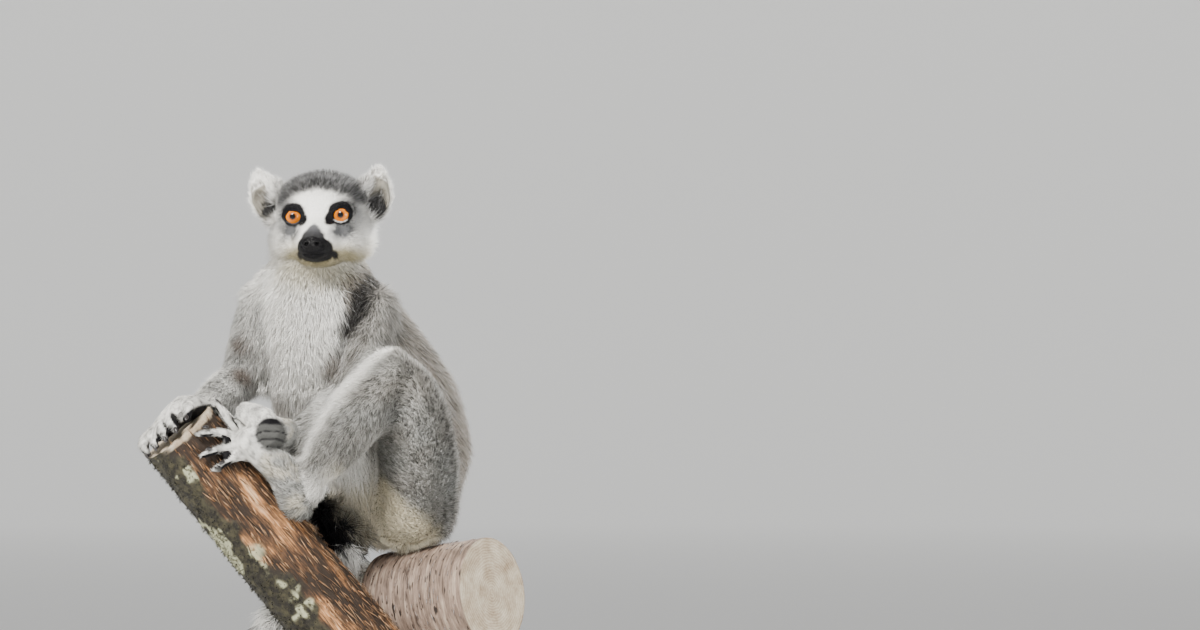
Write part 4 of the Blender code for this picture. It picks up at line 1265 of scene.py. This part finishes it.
# Length and width of a tuft in millimetres, tufts in a square centimetre, and the share that stand out.
COAT = dict.fromkeys(PAWS, (4.4, 0.5, 130, 0.0)) | dict.fromkeys(TAIL, (23, 0.9, 60, 0.10)) | {
    "neck": (16, 0.65, 110, 0.04), "trunk": (18, 0.68, 90, 0.07),
    "thigh_left": (9, 0.55, 170, 0.03), "thigh_right": (9.5, 0.6, 90, 0.02),
    "shin_left": (8, 0.5, 180, 0.03), "shin_right": (8, 0.6, 90, 0.02),
    "upper_arm_left": (10.5, 0.6, 150, 0.04), "upper_arm_right": (12, 0.6, 160, 0.08),
    "forearm_left": (7.5, 0.55, 150, 0.02), "forearm_right": (8.5, 0.55, 160, 0.05),
    "head": (7, 0.5, 170, 0.02), "ear_left": (7.5, 0.55, 170, 0.08), "ear_right": (7.5, 0.55, 170, 0.08),
}
# Which way the hair lies on the neck and trunk, and on each limb from its joint nearer the body.
LIE = {
    "neck": ((0, 0, 0), (0.1, 0.1, -1)), "trunk": ((0, 0, 0), (0.25, 0.25, -1)),
    "upper_arm_right": ((-60, 12, 540), (-85, -6, 459)), "forearm_right": ((-85, -6, 459), (-118, -74, 432)),
    "upper_arm_left": ((36, -34, 522), (16, -60, 442)), "forearm_left": ((16, -60, 442), (-37, -82, 410)),
    "thigh_left": ((88, 0, 395), (55, -78, 474)), "shin_left": ((55, -78, 474), (-24, -87, 362)),
    "thigh_right": ((38, 68, 345), (-22, 96, 452)), "shin_right": ((-22, 96, 452), (-45, -8, 376)),
}
PAW_ROOTS = {"hand_left": (-30, -78, 405), "hand_right": (-108, -60, 446), "foot_left": (-20, -84, 350),
             "foot_right": (-36, -6, 362)}
NOSE_ROOT = np.array((0.0, -30.0, -20.0))


def lie_of_coat(points, shares):
    """The direction that the hair lies in at each point."""
    part = {name: shares[:, i:i + 1] for i, name in enumerate(FLESH)}
    way = np.zeros_like(points)
    for name, (start, end) in LIE.items():
        way += part[name] * unit(np.array([end], float) - np.array([start], float))
    for name, root in PAW_ROOTS.items():
        way += part[name] * unit(points - np.array(root))
    places = to_head(points)
    from_nose = unit((places - NOSE_ROOT) * (1, 1, 0.9) + (0, 6, 0)) @ HEAD_AXES.T
    way += part["head"] * from_nose
    for side, name in EARS:
        from_base = unit(places - EAR_REACH * (side, 1, 1) - np.array((side * -8, 2, -26))) @ HEAD_AXES.T
        way += part[name] * from_base
    _, tail_way = along_tail(points)
    way += share_of(part, TAIL) * tail_way
    return way


def coat_numbers(points, normals, shares):
    """Length, width, closeness, stray share and height of the coat at each point."""
    table = np.array([COAT[name] + (COAT_DEPTH[name],) for name in FLESH])
    length, width, close, stray, depth = (shares @ table).T
    part = {name: shares[:, i] for i, name in enumerate(FLESH)}
    places = to_head(points)
    face = face_depth(places)
    crown = ease(12, 26, places[:, 2]) * part["head"]
    cheek = ease(22, 36, np.abs(places[:, 0])) * ease(4, -8, places[:, 2]) * part["head"]
    length += part["head"] * (2.4 + 1.2 * face - COAT["head"][0]) + 4.5 * cheek - 1.5 * crown
    width += part["head"] * (0.30 + 0.035 * face - COAT["head"][1])
    depth += part["head"] * (face - COAT_DEPTH["head"]) + 2.5 * cheek + 0.5 * crown
    stray += 0.10 * cheek
    close += part["head"] * 90 * ease(5, 1.5, face)
    depth += 1.6 * share_of(part, PAWS)
    # Longer under the far forearm and over the near ankle, and fuller where the tail is tucked in.
    slope = spot_share(points, (-74, -15, 557), (20, 60, 15), 0.5)
    length -= 7 * slope
    depth -= 3.5 * slope
    under = part["forearm_right"] * ease(0.1, -0.6, normals[:, 2])
    tuck = spot_share(points, (-4, 14, 338), (30, 34, 22), 0.4) * share_of(part, TAIL)
    ankle = part["foot_left"] * ease(-55, -35, points[:, 0])
    length += 9 * under + 4 * tuck + 2.5 * ankle
    depth += 5 * under + 3 * tuck + 1.5 * ankle
    return length, width, close, stray, depth


wool, tree, shader = new_material("coat_hair", 0.65, specular=0.05)
shader.inputs["Sheen Weight"].default_value = 0.05
shader.inputs["Sheen Roughness"].default_value = 0.45
colour_from(tree, shader, "coat_colour", 1400, 0.25)

hide_way = lie_of_coat(hide_points, hide_shares)
numbers = np.stack(coat_numbers(hide_points, hide_normals, hide_shares), axis=1)
hide_part = hide_shares.argmax(axis=1)
corner_part = hide_part[hide_triangles[:, 0]]
edge_one = hide_points[hide_triangles[:, 1]] - hide_points[hide_triangles[:, 0]]
edge_two = hide_points[hide_triangles[:, 2]] - hide_points[hide_triangles[:, 0]]
triangle_area = lengths(np.cross(edge_one, edge_two)) / 2
sparse = hide_grow * (1 - hide_bare)
triangle_close = (numbers[:, 2] * sparse)[hide_triangles].mean(axis=1) / 100


def unwrap_of(places, part_names, part_index):
    """A round-and-along unwrap of the hide, with a square of its own for each part."""
    squares = math.ceil(math.sqrt(len(part_names)))
    spots = np.zeros((len(places), 2))
    for order, name in enumerate(part_names):
        rows = np.flatnonzero(part_index == FLESH.index(name))
        if not len(rows):
            continue
        low, high = (np.array(corner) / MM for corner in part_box(name))
        local = (places[rows] - (low + high) / 2) / (high - low)
        longest = int(np.argmax(high - low))
        others = [i for i in range(3) if i != longest]
        round_share = np.arctan2(local[:, others[1]], local[:, others[0]]) / (2 * math.pi) + 0.5
        from_axis = np.hypot(local[:, others[0]], local[:, others[1]])
        steep = np.arctan2(local[:, longest], from_axis) / math.pi + 0.5
        cell = np.array((order % squares, order // squares))
        spots[rows] = (cell + 0.02 + 0.96 * np.stack((round_share, steep), axis=1)) / squares
    return spots


def set_coat(name, part_names, triangle_budget, bends, slot, seed):
    """Grows the coat of some parts of the hide as one piece, as close as its share of triangles allows."""
    draw = np.random.default_rng(seed)
    # Roots spread evenly over the hide, closer together where the coat is closer.
    wanted = np.isin(corner_part, [FLESH.index(part) for part in part_names])
    rows = np.flatnonzero(wanted & (triangle_close > 0))
    weight = np.cumsum(triangle_area[rows] * triangle_close[rows])
    count = int(min(weight[-1], triangle_budget // (4 + 6 * bends)))
    picks = (np.arange(count) + draw.random(count)) * weight[-1] / count
    chosen = rows[np.searchsorted(weight, picks).clip(0, len(rows) - 1)]
    one, two = draw.random((2, count))
    flip = one + two > 1
    one, two = np.where(flip, 1 - one, one), np.where(flip, 1 - two, two)
    shares = np.stack((1 - one - two, one, two), axis=1)
    corners = hide_triangles[chosen]

    def at_root(values):
        return (values[corners] * (shares[..., None] if values.ndim == 2 else shares)).sum(axis=1)

    # How each tuft lies, with a swirl and a tremble of its own.
    normal = unit(at_root(hide_normals))
    root = at_root(hide_points) - normal * 0.5
    length, width, _, stray, depth = at_root(numbers).T
    way = at_root(hide_way)
    swirl = np.stack([wander(root, 22, seed + i) for i in range(3)], axis=1)
    tremble = np.stack([wander(root, 5, seed + 3 + i) for i in range(3)], axis=1)
    way = unit(way) + 0.42 * swirl + 0.30 * tremble + 0.20 * draw.normal(size=(count, 3))
    lie = unit(way - normal * (way * normal).sum(axis=1)[:, None])
    colour = at_root(hide_colour)
    ticked = at_root(hide_ticked)
    out = draw.random(count) < stray
    long_by = 0.72 + 0.5 * draw.random(count) + 0.35 * out
    length = length * long_by
    rise = depth * (0.62 + 0.33 * draw.random(count)) + np.where(out, 3.0, 0)
    rise = np.minimum(rise, length * 0.9)
    width = width * (0.75 + 0.5 * draw.random(count)) * np.where(out, 0.6, 1)
    # The black tips stand in small groups, with pale ones between them.
    grouped = wander(root, 1.7, seed + 9) + 0.5 * wander(root, 1.0, seed + 10)
    grouped = grouped + 0.35 * draw.normal(size=count)
    dark = ((grouped < -0.28) & (draw.random(count) < ticked * 1.1))[:, None]
    light = ((grouped > 0.32) & (draw.random(count) < ticked))[:, None]
    tip = colour * (0.80 + 0.28 * draw.random((count, 1)))
    tip = np.where(dark, tip * 0.10, np.where(light, tip * 1.2 + 0.12, tip))
    stray_pale = (out & (colour.mean(axis=1) > 0.1))[:, None]
    tip = np.clip(np.where(stray_pale, tip * 0.5 + 0.45, tip), 0, 0.93)
    base = np.where(dark, colour * 0.25, colour * (0.88 - 0.22 * ticked[:, None]))
    spots = unwrap_of(root, part_names, corner_part[chosen])
    piece = grow(name, root, normal, lie, length, width, rise, (base, tip), spots, wool, 0.05, bends)
    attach(piece, "root")


# Each piece of the coat: the parts it covers, its most triangles, the bends in a tuft, its slot and its seed.
COAT_PIECES = (
    ("coat_face", ("head",), 190000, 0, "white_coat", 101),
    ("coat_ears", ("ear_left", "ear_right"), 80000, 1, "white_coat", 102),
    ("coat_trunk", ("trunk",), 190000, 1, "grey_coat", 103),
    ("coat_trunk_over", ("trunk",), 190000, 1, "grey_coat", 203),
    ("coat_neck", ("neck",), 80000, 1, "white_coat", 104),
    ("coat_leg_left", ("thigh_left", "shin_left"), 190000, 0, "grey_coat", 105),
    ("coat_leg_right", ("thigh_right", "shin_right"), 80000, 0, "grey_coat", 106),
    ("coat_arms", ARMS, 160000, 0, "grey_coat", 107),
    ("coat_tail", TAIL, 160000, 1, "ringed_coat", 108),
    ("coat_paws", PAWS, 120000, 0, "white_coat", 109),
)
for coat_piece in COAT_PIECES:
    set_coat(*coat_piece)

# Flat black nails, one on the last joint of each finger and toe, pressed from horn with a raised middle.
NAIL_BLACK = (0.006, 0.005, 0.005, 1)
NAIL_WORN = (0.035, 0.030, 0.028, 1)
NAIL_HALF_WIDE, NAIL_HALF_LONG, NAIL_HALF_THICK = 1.9, 3.4, 0.75
horn, tree, shader = new_material("nail_horn", 0.28)
dull = noise(tree, stretched(tree, (1, 1, 1)), 1200, 3)
tree.links.new(ramp(tree, dull, ((0.3, NAIL_BLACK), (0.8, NAIL_WORN))), shader.inputs["Base Color"])
bpy.ops.object.select_all(action="DESELECT")
bpy.ops.mesh.primitive_uv_sphere_add(segments=16, ring_count=10, radius=1)
first_nail = bpy.context.object
shape = points_of(first_nail) * MM
first_triangles = triangles_of(first_nail)
bpy.data.objects.remove(first_nail, do_unlink=True)
across, ahead, up = shape.T
arched = np.where(up > 0, up, 0.35 * up) * NAIL_HALF_THICK - 0.7 * across**2 - 0.5 * np.clip(ahead, 0, 1) ** 2
shape = np.stack((across * NAIL_HALF_WIDE * (1 - 0.25 * ahead), ahead * NAIL_HALF_LONG, arched), axis=1)
axis = log_frame(*PERCH)[1]
nail_points = []
for tip, before in digit_ends:
    ahead = (tip - before) / np.linalg.norm(tip - before)
    outward = tip - PERCH_TOP - axis * np.dot(tip - PERCH_TOP, axis)
    outward = outward / np.linalg.norm(outward) * 0.8 - axis * 0.5 + np.array((0, -0.5, 0.2))
    outward -= ahead * np.dot(outward, ahead)
    outward /= np.linalg.norm(outward)
    across = np.cross(ahead, outward)
    nail_points.append(tip + ahead * 1.6 + outward * 3.3 + shape @ np.stack((across, ahead, outward)))
each = len(shape)
nail_corners = np.concatenate([first_triangles + each * i for i in range(len(nail_points))])
corner_counts = np.full(len(nail_corners), 3)
nails = mesh_piece("nails", np.concatenate(nail_points), nail_corners.ravel(), corner_counts, horn)
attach(nails, "root")


# ------------------------------------------------------------
# The stage: a round floor of pale board that turns up into a wall far outside the lamps, and the camera.
# ------------------------------------------------------------

CAMERA_PLACE = (0.23184, -4.985, 0.5148)
LENS = 170.45
FLOOR_RADIUS = 9
WALL_STEPS, WALL_STEP, WALL_TOP = 10, 0.32, 0.4
BOARD = (0.80, 0.80, 0.785, 1)
WALL_PAINTED_GLOW = (0.34, 0.34, 0.333, 1)

bpy.ops.object.select_all(action="DESELECT")
bpy.ops.mesh.primitive_circle_add(vertices=96, radius=FLOOR_RADIUS, fill_type="TRIFAN")
floor = bpy.context.object
floor.name = "floor"
# Only the outer edge is picked, so that the wall is drawn up from it and the floor stays where it is.
for edge in floor.data.edges:
    edge.select = all(floor.data.vertices[i].co.length > FLOOR_RADIUS / 2 for i in edge.vertices)
for point in floor.data.vertices:
    point.select = point.co.length > FLOOR_RADIUS / 2
for face in floor.data.polygons:
    face.select = False
bpy.ops.object.mode_set(mode="EDIT")
bpy.ops.mesh.select_mode(type="EDGE")
reach = FLOOR_RADIUS
for step in range(WALL_STEPS):
    angle = math.radians(90 * (step + 0.5) / WALL_STEPS)
    bpy.ops.mesh.extrude_region_move(TRANSFORM_OT_translate={"value": (0, 0, WALL_STEP * math.sin(angle))})
    wider = (reach + WALL_STEP * math.cos(angle)) / reach
    bpy.ops.transform.resize(value=(wider, wider, 1))
    reach *= wider
bpy.ops.mesh.extrude_region_move(TRANSFORM_OT_translate={"value": (0, 0, WALL_TOP)})
bpy.ops.object.mode_set(mode="OBJECT")
floor.data.shade_smooth()
board, tree, shader = new_material("pale_board", 0.9, specular=0.1)
shader.inputs["Base Color"].default_value = BOARD
# The board glows with painted light of its own towards its edge, as if lamps washed the wall, and the middle
# of the floor does not glow.
set_values(floor, "far_out", np.minimum(lengths(points_of(floor) * MM) / FLOOR_RADIUS, 1))
glow = ramp(tree, read_value(tree, "far_out"), ((0.3, (0, 0, 0, 1)), (1.0, WALL_PAINTED_GLOW)))
tree.links.new(glow, shader.inputs["Emission Color"])
shader.inputs["Emission Strength"].default_value = 1.0
board.cycles.emission_sampling = "NONE"
floor.data.materials.append(board)


def lamp(name, place, aim, size, power, colour):
    light = bpy.data.lights.new(name, "AREA")
    light.shape = "DISK"
    light.size = size
    light.energy = power
    light.color = colour
    made = bpy.data.objects.new(name, light)
    made.location = place
    made.rotation_euler = (Vector(aim) - Vector(place)).to_track_quat("-Z", "Y").to_euler()
    bpy.context.scene.collection.objects.link(made)


lamp("key_lamp", (-1.0, -2.1, 2.2), (0, 0, 0.45), 1.0, 240, (1.0, 0.98, 0.95))
lamp("fill_lamp", (2.4, -1.8, 0.7), (0, 0, 0.35), 1.2, 50, (0.97, 0.98, 1.0))
lamp("rim_lamp", (1.0, 1.8, 1.9), (0, 0, 0.45), 0.8, 130, (1.0, 1.0, 0.98))
world = bpy.data.worlds.new("soft_room")
world.use_nodes = True
sky = world.node_tree.nodes["Background"]
sky.inputs["Color"].default_value = (0.96, 0.965, 0.98, 1)
sky.inputs["Strength"].default_value = 0.43
bpy.context.scene.world = world

camera_data = bpy.data.cameras.new("camera")
camera_data.sensor_width = 36
camera_data.lens = LENS
camera_data.clip_end = 50
camera = bpy.data.objects.new("camera", camera_data)
camera.location = CAMERA_PLACE
camera.rotation_euler = (math.pi / 2, 0, 0)
bpy.context.scene.collection.objects.link(camera)
bpy.context.scene.camera = camera
